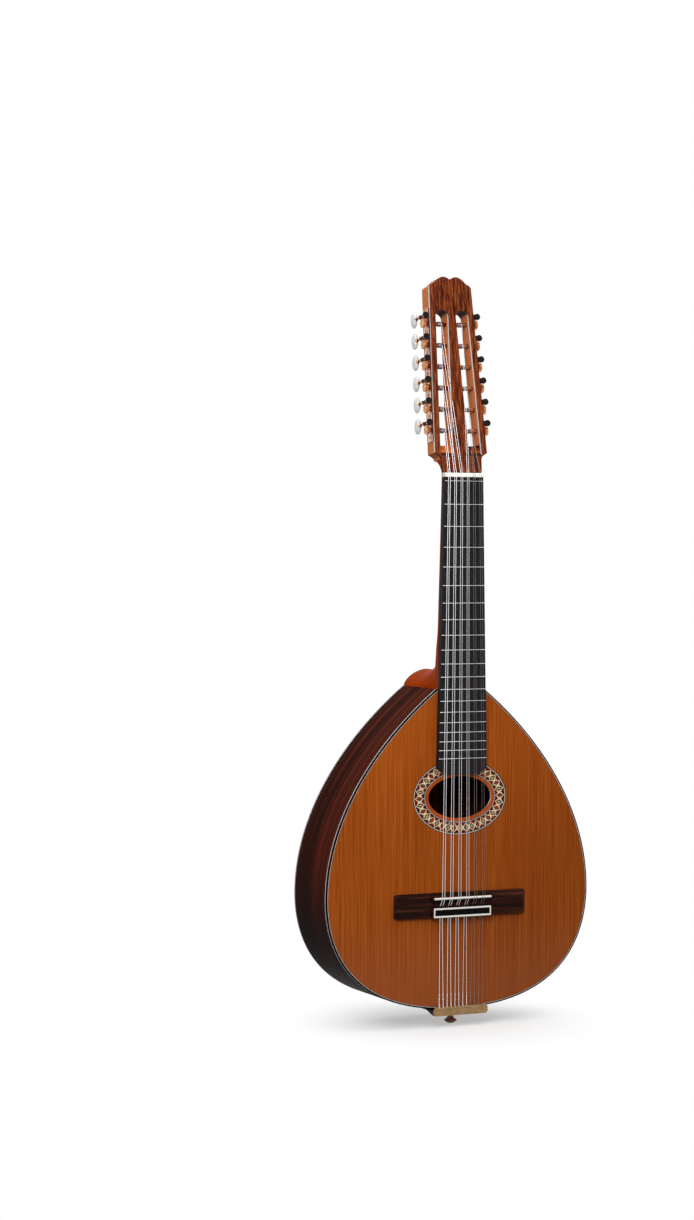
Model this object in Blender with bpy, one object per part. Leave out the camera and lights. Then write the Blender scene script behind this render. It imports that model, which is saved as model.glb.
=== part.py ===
"""Laud: a twelve-string Spanish lute with a slotted head, as separate solids.

Metres throughout. +Z runs up the strings, from the body to the head. The strings are on the -Y side, and
+X is the right hand of somebody who looks at them. The origin is where the zero fret crosses the centre
line, on the glue plane between neck and fingerboard, which is also the front plane of the soundboard.
"""
from math import cos, pi, radians, sin, tan

import bmesh
import bpy
from mathutils import Vector
from mathutils.geometry import interpolate_bezier

MM = 0.001

# Gaps between neighbours
GLUE_GAP = 0.3 * MM
RUNNING_GAP = 0.3 * MM

# Strings and frets
SCALE_LENGTH = 500.0 * MM
BODY_FRET = 12
FRET_COUNT = 19
COURSES = 6
COURSE_PITCH_NUT = 8.4 * MM
COURSE_PITCH_SADDLE = 10.9 * MM
PAIR_GAP_NUT = 2.4 * MM
PAIR_GAP_SADDLE = 3.2 * MM
STRING_PITCH_TAIL = 5.3 * MM
BASS_DIAMETERS = (1.15 * MM, 0.9 * MM, 0.72 * MM)
TREBLE_DIAMETERS = (0.56 * MM, 0.4 * MM, 0.3 * MM)
FRET_WIDTH = 2.2 * MM
FRET_HEIGHT = 1.1 * MM
ACTION_AT_NUT = 0.5 * MM
ACTION_AT_SADDLE = 3.6 * MM

# Body
BODY_LENGTH = 386.0 * MM
BODY_WIDTH = 353.0 * MM
BODY_DEPTH = 93.0 * MM
WIDEST_FROM_TAIL = 139.0 * MM
JOINT_WIDTH = 64.0 * MM
SHOULDER_ANGLE = radians(52)
SHOULDER_PULL = 110.0 * MM
UPPER_SIDE_PULL = 90.0 * MM
LOWER_SIDE_PULL = 54.0 * MM
TAIL_PULL = 151.0 * MM
OUTLINE_STEPS = 12
TOP_THICKNESS = 2.5 * MM
BACK_THICKNESS = 2.6 * MM
SIDE_THICKNESS = 2.2 * MM
LINING_WIDTH = 5.5 * MM
LINING_HEIGHT = 13.0 * MM
LINING_FOOT = 4.0 * MM
BINDING_WIDTH = 4.6 * MM
NECK_BLOCK_FOOT = 12.0 * MM
TAIL_BLOCK_THICKNESS = 15.0 * MM
TAIL_BLOCK_WIDTH = 70.0 * MM
BAR_WIDTH = 6.0 * MM
BAR_HEIGHT = 15.0 * MM
BAR_END_HEIGHT = 5.0 * MM
BAR_FROM_HOLE = 12.0 * MM

# Soundhole and rosette
HOLE_FROM_JOINT = 131.0 * MM
HOLE_WIDTH = 83.5 * MM
HOLE_HEIGHT = 50.8 * MM
ROSETTE_MARGIN = 4.5 * MM
ROSETTE_WIDTH = 14.5 * MM
ROSETTE_THICKNESS = 1.0 * MM
ELLIPSE_STEPS = 32

# Neck, fingerboard and nut
NUT_WIDTH = 52.0 * MM
BOARD_WIDTH_AT_BODY = 61.5 * MM
BOARD_THICKNESS = 6.5 * MM
BOARD_AFTER_LAST_FRET = 8.0 * MM
BOARD_END_BULGE = 12.0 * MM
BOARD_END_ROUNDING = 2.5
ZERO_FRET_TO_NUT = 3.7 * MM
NUT_THICKNESS = 6.0 * MM
NECK_DEPTH_AT_NUT = 15.5 * MM
NECK_DEPTH_AT_HEEL = 16.0 * MM
HEEL_HALF_WIDTH = 30.5 * MM
HEEL_RISE = 20.4 * MM
HEEL_FILLET = 50.0 * MM
HEEL_CAP_THICKNESS = 2.6 * MM
NECK_STATIONS = 4
HEEL_TURN_STEPS = 6
SECTION_STEPS = 12
# Roundness of a section: 1 is a wedge, 2 an ellipse, more is nearer to a box
NUT_END_ROUNDNESS = 1.9
HEEL_TOP_ROUNDNESS = 2.4
HEEL_FOOT_ROUNDNESS = 1.65

# Head
HEAD_TILT = radians(9)
HEAD_THICKNESS = 17.7 * MM
VENEER_THICKNESS = 2.5 * MM
THROAT_LENGTH = 16.0 * MM
THROAT_HALF_WIDTH = 26.8 * MM
# Sections of the throat: share of its length, roundness
THROAT_SECTIONS = ((1.0, 6.0), (0.7, 3.2), (0.3, 2.2))
SHOULDER_HEIGHT = 24.0 * MM
SHOULDER_HALF_WIDTH = 34.9 * MM
SIDE_TAPER = radians(1.9)
CREST_CORNER = 225.5 * MM
CREST_HOLLOW = (21.5 * MM, 6.5 * MM)
CREST_PEAK = (8.7 * MM, 14.6 * MM)
CREST_NOTCH = 11.3 * MM
SLOT_START = 35.0 * MM
SLOT_END = 199.5 * MM
SLOT_WIDTH = 17.5 * MM
SLOT_WALL = 7.0 * MM
SLOT_END_STEPS = 8
RAMP_START = 20.0 * MM
RAMP_DEPTH = 13.0 * MM

# Tuning machines
MACHINES_PER_SIDE = 6
POST_START = 52.6 * MM
POST_PITCH = 26.2 * MM
POST_DEPTH = 6.4 * MM
POST_RADIUS = 2.6 * MM
POST_IN_WEB = 3.0 * MM
WINDING_RADIUS = 3.5 * MM
WINDING_LENGTH = 5.0 * MM
WINDING_FROM_EDGE_NUT_END = 6.6 * MM
WINDING_FROM_EDGE_TIP_END = 8.5 * MM
PLATE_START = 38.0 * MM
PLATE_END = 201.0 * MM
PLATE_WIDTH = 13.0 * MM
PLATE_THICKNESS = 1.2 * MM
MACHINE_SIDES = 8
GEAR_TEETH = 14
GEAR_RADIUS = 5.9 * MM
GEAR_TOOTH_HEIGHT = 1.0 * MM
GEAR_THICKNESS = 3.4 * MM
SHAFT_STANDOFF = 5.6 * MM
WORM_RADIUS = 2.3 * MM
JOURNAL_RADIUS = 1.5 * MM
LUG_THICKNESS = 1.4 * MM
LUG_RADIUS = 3.3 * MM
KNOB_RADIUS = 3.5 * MM
KNOB_THICKNESS = 1.9 * MM
COLLAR_RADIUS = 2.5 * MM
COLLAR_THICKNESS = 1.6 * MM
BUTTON_BEHIND_HEAD = 7.0 * MM
BUTTON_LENGTH = 11.5 * MM
BUTTON_HALF_HEIGHT = 9.7 * MM
BUTTON_HALF_THICKNESS = 3.1 * MM

# Bridge
BRIDGE_WIDTH = 176.0 * MM
BRIDGE_HEIGHT = 30.0 * MM
BRIDGE_ABOVE_SADDLE = 6.5 * MM
BRIDGE_WING = 4.0 * MM
BRIDGE_BLOCK_WIDTH = 80.0 * MM
BRIDGE_BLOCK = 8.0 * MM
TIE_BLOCK_LENGTH = 13.0 * MM
BRIDGE_VALLEY = 3.6 * MM
STRING_HOLE_HEIGHT = 5.4 * MM
STRING_HOLE_RADIUS = 1.1 * MM
SADDLE_WIDTH = 76.0 * MM
SADDLE_THICKNESS = 2.4 * MM
SADDLE_SLOT_DEPTH = 4.0 * MM
FRAME_WIDTH = 77.0 * MM
FRAME_LENGTH = 11.6 * MM
FRAME_BORDER = 2.5 * MM
FRAME_THICKNESS = 1.0 * MM

# Tailpiece and end pin
TAILPIECE_WIDTH = 71.0 * MM
TAILPIECE_ABOVE_TAIL = 4.3 * MM
TAILPIECE_BELOW_TAIL = 5.8 * MM
TAILPIECE_STANDOFF = 4.6 * MM
TAILPIECE_SHEET = 1.2 * MM
TAILPIECE_SLOPE_LENGTH = 14.0 * MM
TAILPIECE_FOOT_LENGTH = 22.0 * MM
TAILPIECE_CORNER = 2.6 * MM
PIN_BEHIND_FRONT = 21.7 * MM
PIN_TENON_RADIUS = 3.0 * MM
PIN_TENON_LENGTH = 14.0 * MM
PIN_TENON_TAPER = 0.9
# Form of the end pin below the tailpiece: share of its length, share of its rim's radius
PIN_FORM = ((0.0, 0.62), (0.12, 0.55), (0.4, 0.5), (0.72, 0.75), (0.84, 1.0), (0.92, 0.97), (1.0, 0.6))
PIN_RIM_RADIUS = 6.9 * MM
PIN_LENGTH = 20.0 * MM
PIN_SIDES = 14

# Places that follow from the sizes above
JOINT_Z = -SCALE_LENGTH * (1 - 2 ** (-BODY_FRET / 12))
TAIL_Z = JOINT_Z - BODY_LENGTH
WIDEST_Z = TAIL_Z + WIDEST_FROM_TAIL
HOLE_Z = JOINT_Z - HOLE_FROM_JOINT
LAST_FRET_Z = -SCALE_LENGTH * (1 - 2 ** (-FRET_COUNT / 12))
NUT_BOTTOM_Z = ZERO_FRET_TO_NUT
NUT_TOP_Z = NUT_BOTTOM_Z + NUT_THICKNESS
BOARD_FRONT = -GLUE_GAP - BOARD_THICKNESS
FRET_TOP = BOARD_FRONT - FRET_HEIGHT
NUT_FRONT = FRET_TOP - ACTION_AT_NUT
SADDLE_Z = -SCALE_LENGTH - 1.0 * MM
SADDLE_FRONT = FRET_TOP - ACTION_AT_SADDLE
BRIDGE_TOP_Z = SADDLE_Z + BRIDGE_ABOVE_SADDLE
BRIDGE_BOTTOM_Z = BRIDGE_TOP_Z - BRIDGE_HEIGHT
TIE_BLOCK_TOP_Z = BRIDGE_BOTTOM_Z + TIE_BLOCK_LENGTH
HEAD_Z = NUT_TOP_Z + GLUE_GAP
VENEER_FRONT = -GLUE_GAP - VENEER_THICKNESS
PLATE_OUTER = GLUE_GAP + PLATE_THICKNESS
WORM_ABOVE_POST = GEAR_RADIUS + RUNNING_GAP + WORM_RADIUS
SIDE_FRONT_Y = TOP_THICKNESS + GLUE_GAP
SIDE_BACK_Y = BODY_DEPTH - BACK_THICKNESS - GLUE_GAP

# Colour, roughness and metallic value of each material
FINISHES = {
    "cedar_top": ((0.52, 0.20, 0.055), 0.28, 0.0),
    "cedar_neck": ((0.42, 0.15, 0.05), 0.35, 0.0),
    "rosewood": ((0.12, 0.035, 0.022), 0.25, 0.0),
    "rosewood_head": ((0.2, 0.055, 0.022), 0.25, 0.0),
    "ebony": ((0.02, 0.017, 0.016), 0.35, 0.0),
    "spruce": ((0.62, 0.45, 0.25), 0.6, 0.0),
    "binding": ((0.045, 0.02, 0.018), 0.3, 0.0),
    "mosaic": ((0.35, 0.3, 0.22), 0.35, 0.0),
    "bone": ((0.85, 0.82, 0.74), 0.3, 0.0),
    "brass": ((0.72, 0.52, 0.26), 0.3, 1.0),
    "gilt": ((0.83, 0.58, 0.28), 0.25, 1.0),
    "pearloid": ((0.86, 0.85, 0.83), 0.2, 0.0),
    "wound_string": ((0.75, 0.75, 0.77), 0.3, 1.0),
    "plain_string": ((0.8, 0.8, 0.8), 0.22, 1.0),
}


def clear_scene():
    """Remove whatever objects the scene starts with."""
    for existing in list(bpy.data.objects):
        bpy.data.objects.remove(existing, do_unlink=True)


def make_material(name):
    """A Principled material with the finish of that name."""
    colour, roughness, metallic = FINISHES[name]
    material = bpy.data.materials.get(name) or bpy.data.materials.new(name)
    material.use_nodes = True
    shader = material.node_tree.nodes["Principled BSDF"]
    shader.inputs["Base Color"].default_value = (*colour, 1.0)
    shader.inputs["Roughness"].default_value = roughness
    shader.inputs["Metallic"].default_value = metallic
    return material


def add_object(name, bm, finish=None, parent=None, smooth_angle=None):
    """Turn a bmesh into a named object; with no finish it is a hidden cutter."""
    bmesh.ops.recalc_face_normals(bm, faces=bm.faces)
    if bm.calc_volume(signed=True) < 0:
        bmesh.ops.reverse_faces(bm, faces=bm.faces)
    mesh = bpy.data.meshes.new(name)
    bm.to_mesh(mesh)
    bm.free()
    obj = bpy.data.objects.new(name, mesh)
    bpy.context.scene.collection.objects.link(obj)
    obj.parent = parent
    if finish:
        mesh.materials.append(make_material(finish))
    else:
        obj.hide_render = True
        obj.display_type = "WIRE"
    if smooth_angle:
        mesh.shade_smooth()
        mesh.set_sharp_from_angle(angle=smooth_angle)
    return obj


def boolean(obj, tool, operation="DIFFERENCE"):
    """Cut the tool out of the object, or weld it on."""
    modifier = obj.modifiers.new(tool.name, "BOOLEAN")
    modifier.operation = operation
    modifier.solver = "EXACT"
    modifier.object = tool


def add_prism(bm, outline, low, high, place):
    """Extrude a closed outline between two depths; place turns (a, b, depth) into a point."""
    rings = [[bm.verts.new(place(a, b, depth)) for a, b in outline] for depth in (low, high)]
    bm.faces.new(rings[0])
    bm.faces.new(reversed(rings[1]))
    bridge(bm, rings[0], rings[1], closed=True)


def bridge(bm, ring, other, closed):
    """Join two rings of equal count with four-sided faces."""
    count = len(ring)
    for index in range(count if closed else count - 1):
        after = (index + 1) % count
        bm.faces.new((ring[index], ring[after], other[after], other[index]))


def prism(outline, low, high, place):
    """One extruded solid."""
    bm = bmesh.new()
    add_prism(bm, outline, low, high, place)
    return bm


def from_front(x, z, y):
    """An outline drawn as it is seen from the front, extruded along Y."""
    return (x, y, z)


def from_side(y, z, x):
    """A profile drawn as it is seen from the side, extruded along X."""
    return (x, y, z)


def from_end(x, y, z):
    """A section drawn as it is seen along the strings, extruded along Z."""
    return (x, y, z)


def loft(rings):
    """A solid through closed rings of points of equal count, with flat ends."""
    bm = bmesh.new()
    loops = [[bm.verts.new(point) for point in ring] for ring in rings]
    for ring, other in zip(loops, loops[1:]):
        bridge(bm, ring, other, closed=True)
    bm.faces.new(loops[0])
    bm.faces.new(reversed(loops[-1]))
    return bm


def hoop(outer, inner, low, high):
    """A closed frame between two outlines of equal count, seen from the front."""
    bm = bmesh.new()
    corners = [
        [bm.verts.new(from_front(x, z, y)) for x, z in outline]
        for outline, y in ((outer, low), (outer, high), (inner, high), (inner, low))
    ]
    for ring, other in zip(corners, corners[1:] + corners[:1]):
        bridge(bm, ring, other, closed=True)
    return bm


def turned(stations, sides, place):
    """A turned solid: stations are (along, radius) or (along, radius, other radius)."""
    rings = []
    for along, radius, *other in stations:
        second = other[0] if other else radius
        angles = [2 * pi * step / sides for step in range(sides)]
        rings.append([place(radius * cos(angle), second * sin(angle), along) for angle in angles])
    return loft(rings)


def bore(middle_a, middle_b, radius, gap):
    """A hole's many-sided outline, whose flats clear a round bar of that radius by the gap."""
    reach = (radius + gap) / cos(pi / MACHINE_SIDES)
    angles = [2 * pi * (step + 0.5) / MACHINE_SIDES for step in range(MACHINE_SIDES)]
    return [(middle_a + reach * cos(angle), middle_b + reach * sin(angle)) for angle in angles]


def ellipse(width, height, grow=0.0):
    """An ellipse about the soundhole's centre, widened all round."""
    points = []
    for step in range(ELLIPSE_STEPS):
        angle = 2 * pi * step / ELLIPSE_STEPS
        points.append(((width / 2 + grow) * cos(angle), HOLE_Z + (height / 2 + grow) * sin(angle)))
    return points


def mirrored(half):
    """A half outline on the right, closed with its mirror image on the left."""
    left = [(-x, z) for x, z in reversed(half) if x > 0]
    return list(half) + left


def shifted(before, here, after, distance):
    """A corner of an outline that runs clockwise, moved inward by a distance from both its edges."""
    normals = []
    for start, end in ((before, here), (here, after)):
        way = (Vector(end) - Vector(start)).normalized()
        normals.append(Vector((way.y, -way.x)))
    mitre = (normals[0] + normals[1]) / (1 + normals[0].dot(normals[1]))
    return tuple(Vector(here) + mitre * distance)


def inset(outline, distance):
    """A closed outline moved inward, with its corners kept."""
    neighbours = zip(outline[-1:] + outline[:-1], outline, outline[1:] + outline[:1])
    return [shifted(before, here, after, distance) for before, here, after in neighbours]


def body_half():
    """The right half of the body from the neck corner down to the tail, as (x, z)."""
    corner = Vector((JOINT_WIDTH / 2, JOINT_Z))
    widest = Vector((BODY_WIDTH / 2, WIDEST_Z))
    tail = Vector((0, TAIL_Z))
    way = Vector((sin(SHOULDER_ANGLE), -cos(SHOULDER_ANGLE)))
    side = Vector((0, 1))
    upper = interpolate_bezier(
        corner, corner + way * SHOULDER_PULL, widest + side * UPPER_SIDE_PULL, widest, OUTLINE_STEPS + 1
    )
    lower = interpolate_bezier(
        widest, widest - side * LOWER_SIDE_PULL, tail + Vector((TAIL_PULL, 0)), tail, OUTLINE_STEPS + 1
    )
    return [tuple(point) for point in upper + lower[1:]]


def body_outline():
    """The whole body seen from the front, clockwise from the right neck corner."""
    return mirrored(body_half())


def body_half_width(z):
    """Half the body's width at a height."""
    half = body_half()
    for (x0, z0), (x1, z1) in zip(half, half[1:]):
        if z1 <= z <= z0:
            return x0 + (x1 - x0) * (z0 - z) / (z0 - z1)
    return 0.0


def tail_height(line, x):
    """Height at which the lower part of a right half line passes a distance from the centre."""
    for (x0, z0), (x1, z1) in zip(line, line[1:]):
        if z0 <= WIDEST_Z and x1 <= x <= x0:
            return z0 + (z1 - z0) * (x0 - x) / (x0 - x1)
    return WIDEST_Z


def side_line(distance):
    """The right half outline moved inward, cut at the neck joint and at the tail seam."""
    half = body_half()
    start = Vector(half[0])
    way = (Vector(half[1]) - start).normalized()
    first = start + Vector((way.y, -way.x)) * distance
    first += way * ((JOINT_Z - first.y) / way.y)
    line = [tuple(first)]
    for before, here, after in zip(half, half[1:], half[2:]):
        line.append(shifted(before, here, after, distance))
    line.append((GLUE_GAP / 2, TAIL_Z + distance))
    return line


def make_side(name, hand):
    """One bent side with the linings glued along its front and back edges."""
    front, back = SIDE_FRONT_Y, SIDE_BACK_Y
    outer = side_line(0)
    inner = side_line(SIDE_THICKNESS)
    lining = side_line(SIDE_THICKNESS + LINING_WIDTH)
    rings = []
    for (ox, oz), (ix, iz), (lx, lz) in zip(outer, inner, lining):
        rings.append([
            (hand * ox, front, oz),
            (hand * ox, back, oz),
            (hand * lx, back, lz),
            (hand * lx, back - LINING_FOOT, lz),
            (hand * ix, back - LINING_HEIGHT, iz),
            (hand * ix, front + LINING_HEIGHT, iz),
            (hand * lx, front + LINING_FOOT, lz),
            (hand * lx, front, lz),
        ])
    return add_object(name, loft(rings), "rosewood", smooth_angle=radians(30))


def make_body():
    """Soundboard, rosette, back, sides, bindings, blocks and bars."""
    outline = body_outline()
    bound = inset(outline, BINDING_WIDTH)
    plate = inset(outline, BINDING_WIDTH + GLUE_GAP)
    back_front = BODY_DEPTH - BACK_THICKNESS

    soundboard = add_object("soundboard", prism(plate, 0, TOP_THICKNESS, from_front), "cedar_top")
    hole = ellipse(HOLE_WIDTH, HOLE_HEIGHT)
    boolean(soundboard, add_object("cut_soundhole", prism(hole, -BAR_HEIGHT, BAR_HEIGHT, from_front)))
    channel = hoop(
        ellipse(HOLE_WIDTH, HOLE_HEIGHT, ROSETTE_MARGIN + ROSETTE_WIDTH + GLUE_GAP),
        ellipse(HOLE_WIDTH, HOLE_HEIGHT, ROSETTE_MARGIN - GLUE_GAP),
        -ROSETTE_THICKNESS,
        ROSETTE_THICKNESS + GLUE_GAP,
    )
    boolean(soundboard, add_object("cut_rosette_channel", channel))
    inlay = hoop(
        ellipse(HOLE_WIDTH, HOLE_HEIGHT, ROSETTE_MARGIN + ROSETTE_WIDTH),
        ellipse(HOLE_WIDTH, HOLE_HEIGHT, ROSETTE_MARGIN),
        0,
        ROSETTE_THICKNESS,
    )
    add_object("rosette", inlay, "mosaic")
    add_object("front_binding", hoop(outline, bound, 0, TOP_THICKNESS), "binding")
    add_object("back_binding", hoop(outline, bound, back_front, BODY_DEPTH), "binding")
    add_object("back", prism(plate, back_front, BODY_DEPTH, from_front), "rosewood")
    sides = [make_side("side_left", -1), make_side("side_right", 1)]
    make_neck_block()
    tail_block = make_tail_block()
    make_bar("soundboard_bar_upper", HOLE_Z + HOLE_HEIGHT / 2 + BAR_FROM_HOLE)
    make_bar("soundboard_bar_lower", HOLE_Z - HOLE_HEIGHT / 2 - BAR_FROM_HOLE)
    return sides, tail_block


def make_neck_block():
    """The block under the heel, wedged between the linings of the two sides."""
    lining = SIDE_THICKNESS + LINING_WIDTH + GLUE_GAP
    top, knee = side_line(lining)[:2]
    half = [top, knee, (knee[0], knee[1] - NECK_BLOCK_FOOT)]
    low, high = SIDE_FRONT_Y, SIDE_BACK_Y
    add_object("neck_block", prism(mirrored(half), low, high, from_front), "spruce")


def make_tail_block():
    """The block at the tail that holds the end pin, stepped round the linings."""
    half = TAIL_BLOCK_WIDTH / 2
    near_side = tail_height(side_line(SIDE_THICKNESS), half) + GLUE_GAP
    near_lining = near_side + LINING_WIDTH
    inner = near_side + TAIL_BLOCK_THICKNESS
    front, back = SIDE_FRONT_Y, SIDE_BACK_Y
    step = LINING_HEIGHT + GLUE_GAP
    profile = [
        (front, inner), (back, inner), (back, near_lining), (back - step, near_lining),
        (back - step, near_side), (front + step, near_side), (front + step, near_lining),
        (front, near_lining),
    ]
    return add_object("tail_block", prism(profile, -half, half, from_side), "spruce")


def make_bar(name, z):
    """A spruce bar across the inside of the soundboard, thinned towards its ends."""
    half = min(body_half_width(z + way * BAR_WIDTH / 2) for way in (-1, 1))
    half -= SIDE_THICKNESS + LINING_WIDTH + BINDING_WIDTH
    top = TOP_THICKNESS + GLUE_GAP
    right = [(half, top), (half, top + BAR_END_HEIGHT), (half * 0.7, top + BAR_HEIGHT)]
    section = mirrored(right)
    add_object(name, prism(section, z - BAR_WIDTH / 2, z + BAR_WIDTH / 2, from_end), "spruce")


def board_half_width(z):
    """Half the fingerboard's width at a height."""
    gain = (BOARD_WIDTH_AT_BODY - NUT_WIDTH) / 2
    return NUT_WIDTH / 2 + gain * z / JOINT_Z


def rounded(angle, roundness):
    """A point on a rounded box of half-width and depth one, from an angle."""
    power = 2 / roundness
    across = abs(cos(angle)) ** power
    return (across if cos(angle) > 0 else -across), abs(sin(angle)) ** power


def neck_section(front, back, half_width, roundness):
    """A D-shaped section with its flat side in front; its belly reaches the back point."""
    ring = []
    for step in range(SECTION_STEPS + 1):
        across, deep = rounded(pi * step / SECTION_STEPS, roundness)
        ring.append(front + Vector((half_width * across, 0, 0)) + (back - front) * deep)
    return ring


def in_head(x, n, t):
    """A point of the tilted head: n behind its front plane, t along it above the nut."""
    return Vector((
        x,
        n * cos(HEAD_TILT) + t * sin(HEAD_TILT),
        HEAD_Z - n * sin(HEAD_TILT) + t * cos(HEAD_TILT),
    ))


def make_neck():
    """The neck with its throat below the head and its heel on the body, in one piece."""
    sections = []
    for share, roundness in THROAT_SECTIONS:
        t = THROAT_LENGTH * share
        deep = NECK_DEPTH_AT_NUT + (HEAD_THICKNESS - NECK_DEPTH_AT_NUT) * share
        width = NUT_WIDTH / 2 + (THROAT_HALF_WIDTH - NUT_WIDTH / 2) * share ** 2
        sections.append((in_head(0, 0, t), in_head(0, deep, t), width, roundness))
    nut_back = Vector((0, NECK_DEPTH_AT_NUT, HEAD_Z - NECK_DEPTH_AT_NUT * tan(HEAD_TILT / 2)))
    sections.append((Vector((0, 0, HEAD_Z)), nut_back, NUT_WIDTH / 2, NUT_END_ROUNDNESS))
    joint = JOINT_Z + GLUE_GAP
    spine = joint + HEEL_RISE
    fillet_top = spine + HEEL_FILLET
    for step in range(NECK_STATIONS + 1):
        share = step / NECK_STATIONS
        z = fillet_top * share
        depth = NECK_DEPTH_AT_NUT + (NECK_DEPTH_AT_HEEL - NECK_DEPTH_AT_NUT) * share
        roundness = NUT_END_ROUNDNESS + (HEEL_TOP_ROUNDNESS - NUT_END_ROUNDNESS) * share ** 2
        front = Vector((0, 0, z))
        sections.append((front, front + Vector((0, depth, 0)), board_half_width(z), roundness))
    foot_y = BODY_DEPTH - HEEL_CAP_THICKNESS - GLUE_GAP
    for step in range(1, HEEL_TURN_STEPS + 1):
        share = step / HEEL_TURN_STEPS
        angle = pi / 2 * share
        back = Vector((
            0,
            NECK_DEPTH_AT_HEEL + HEEL_FILLET * (1 - cos(angle)),
            fillet_top - HEEL_FILLET * sin(angle),
        ))
        down = min(2 * share, 1)
        out = max(2 * share - 1, 0)
        front = Vector((0, out * back.y, fillet_top + (joint - fillet_top) * down))
        width = board_half_width(joint) + (HEEL_HALF_WIDTH - board_half_width(joint)) * out
        roundness = HEEL_TOP_ROUNDNESS + (HEEL_FOOT_ROUNDNESS - HEEL_TOP_ROUNDNESS) * share ** 3
        sections.append((front, back, width, roundness))
    for share in (0.5, 1.0):
        y = back.y + (foot_y - back.y) * share
        foot = (Vector((0, y, joint)), Vector((0, y, spine)), HEEL_HALF_WIDTH, HEEL_FOOT_ROUNDNESS)
        sections.append(foot)
    rings = [neck_section(*section) for section in sections]
    add_object("neck", loft(rings), "cedar_neck", smooth_angle=radians(35))

    cap = []
    for step in range(SECTION_STEPS + 1):
        across, rise = rounded(pi * step / SECTION_STEPS, HEEL_FOOT_ROUNDNESS)
        cap.append((HEEL_HALF_WIDTH * across, joint + HEEL_RISE * rise))
    add_object("heel_cap", prism(cap, foot_y + GLUE_GAP, BODY_DEPTH, from_front), "rosewood")


def fret_z(number):
    """Height of a fret; number 0 is the zero fret."""
    return -SCALE_LENGTH * (1 - 2 ** (-number / 12))


def make_fingerboard():
    """The tapered board with a bulging end, and its frets pressed in."""
    edge_z = LAST_FRET_Z - BOARD_AFTER_LAST_FRET
    half_end = board_half_width(edge_z)
    top_z = NUT_BOTTOM_Z - GLUE_GAP
    outline = [(-board_half_width(top_z), top_z), (board_half_width(top_z), top_z)]
    for step in range(SECTION_STEPS + 1):
        across, drop = rounded(pi * step / SECTION_STEPS, BOARD_END_ROUNDING)
        outline.append((half_end * across, edge_z - BOARD_END_BULGE * drop))
    board = add_object("fingerboard", prism(outline, BOARD_FRONT, -GLUE_GAP, from_front), "ebony")
    wires = bmesh.new()
    for number in range(FRET_COUNT + 1):
        z = fret_z(number)
        half = board_half_width(z) - 2 * GLUE_GAP
        crown = FRET_WIDTH / 4
        section = [
            (FRET_TOP, z - crown), (FRET_TOP, z + crown),
            (BOARD_FRONT - FRET_HEIGHT / 3, z + FRET_WIDTH / 2), (BOARD_FRONT + FRET_HEIGHT, z + crown),
            (BOARD_FRONT + FRET_HEIGHT, z - crown), (BOARD_FRONT - FRET_HEIGHT / 3, z - FRET_WIDTH / 2),
        ]
        add_prism(wires, section, -half, half, from_side)
    boolean(board, add_object("weld_frets", wires), "UNION")

    nut = [
        (-GLUE_GAP, NUT_BOTTOM_Z), (-GLUE_GAP, NUT_TOP_Z),
        (NUT_FRONT + NUT_THICKNESS / 3, NUT_TOP_Z), (NUT_FRONT, NUT_TOP_Z - NUT_THICKNESS / 3),
        (NUT_FRONT, NUT_BOTTOM_Z),
    ]
    half = NUT_WIDTH / 2
    add_object("nut", prism(nut, -half, half, from_side), "bone")


def head_side_x(t):
    """Half the head's width at a distance above the nut."""
    return SHOULDER_HALF_WIDTH - (t - SHOULDER_HEIGHT) * tan(SIDE_TAPER)


def curve_through(start, start_pull, end_pull, end, steps):
    """Points of a curve after its start, as (x, t)."""
    points = interpolate_bezier(Vector(start), Vector(start_pull), Vector(end_pull), Vector(end), steps + 1)
    return [tuple(point) for point in points[1:]]


def head_outline(start_t, start_half):
    """The head seen square on: throat, shoulders, tapered sides and a crest of two bumps."""
    throat = (THROAT_HALF_WIDTH, THROAT_LENGTH + GLUE_GAP)
    shoulder = (SHOULDER_HALF_WIDTH, SHOULDER_HEIGHT)
    flare = SHOULDER_HEIGHT - THROAT_LENGTH
    half = [(start_half, start_t)] if start_t < throat[1] else []
    half.append(throat)
    half += curve_through(
        throat,
        (throat[0], throat[1] + flare * 0.6),
        (shoulder[0] - flare * 0.3, shoulder[1] - flare * 0.25),
        shoulder,
        5,
    )
    corner = (head_side_x(CREST_CORNER), CREST_CORNER)
    hollow = (CREST_HOLLOW[0], CREST_CORNER + CREST_HOLLOW[1])
    peak = (CREST_PEAK[0], CREST_CORNER + CREST_PEAK[1])
    notch = (0, CREST_CORNER + CREST_NOTCH)
    reach = peak[0] / 2
    half.append(corner)
    half += curve_through(
        corner, (corner[0], corner[1] + reach * 0.8), (hollow[0] + reach, hollow[1] - reach / 2), hollow, 4
    )
    half += curve_through(
        hollow, (hollow[0] - reach * 0.8, hollow[1] + reach * 0.9), (peak[0] + reach, peak[1]), peak, 4
    )
    half += curve_through(peak, (peak[0] - reach * 0.8, peak[1]), (reach * 0.5, notch[1] + reach * 0.3), notch, 3)
    return mirrored(half)


def add_frame(name, parent, location, rotation):
    """An empty that carries a group of pieces."""
    frame = bpy.data.objects.new(name, None)
    bpy.context.scene.collection.objects.link(frame)
    frame.parent = parent
    frame.location = location
    frame.rotation_euler = rotation
    return frame


def post_height(number):
    """Height of a post in the frame of its side's machines, counted from the nut."""
    return POST_START + number * POST_PITCH - SHOULDER_HEIGHT


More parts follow.
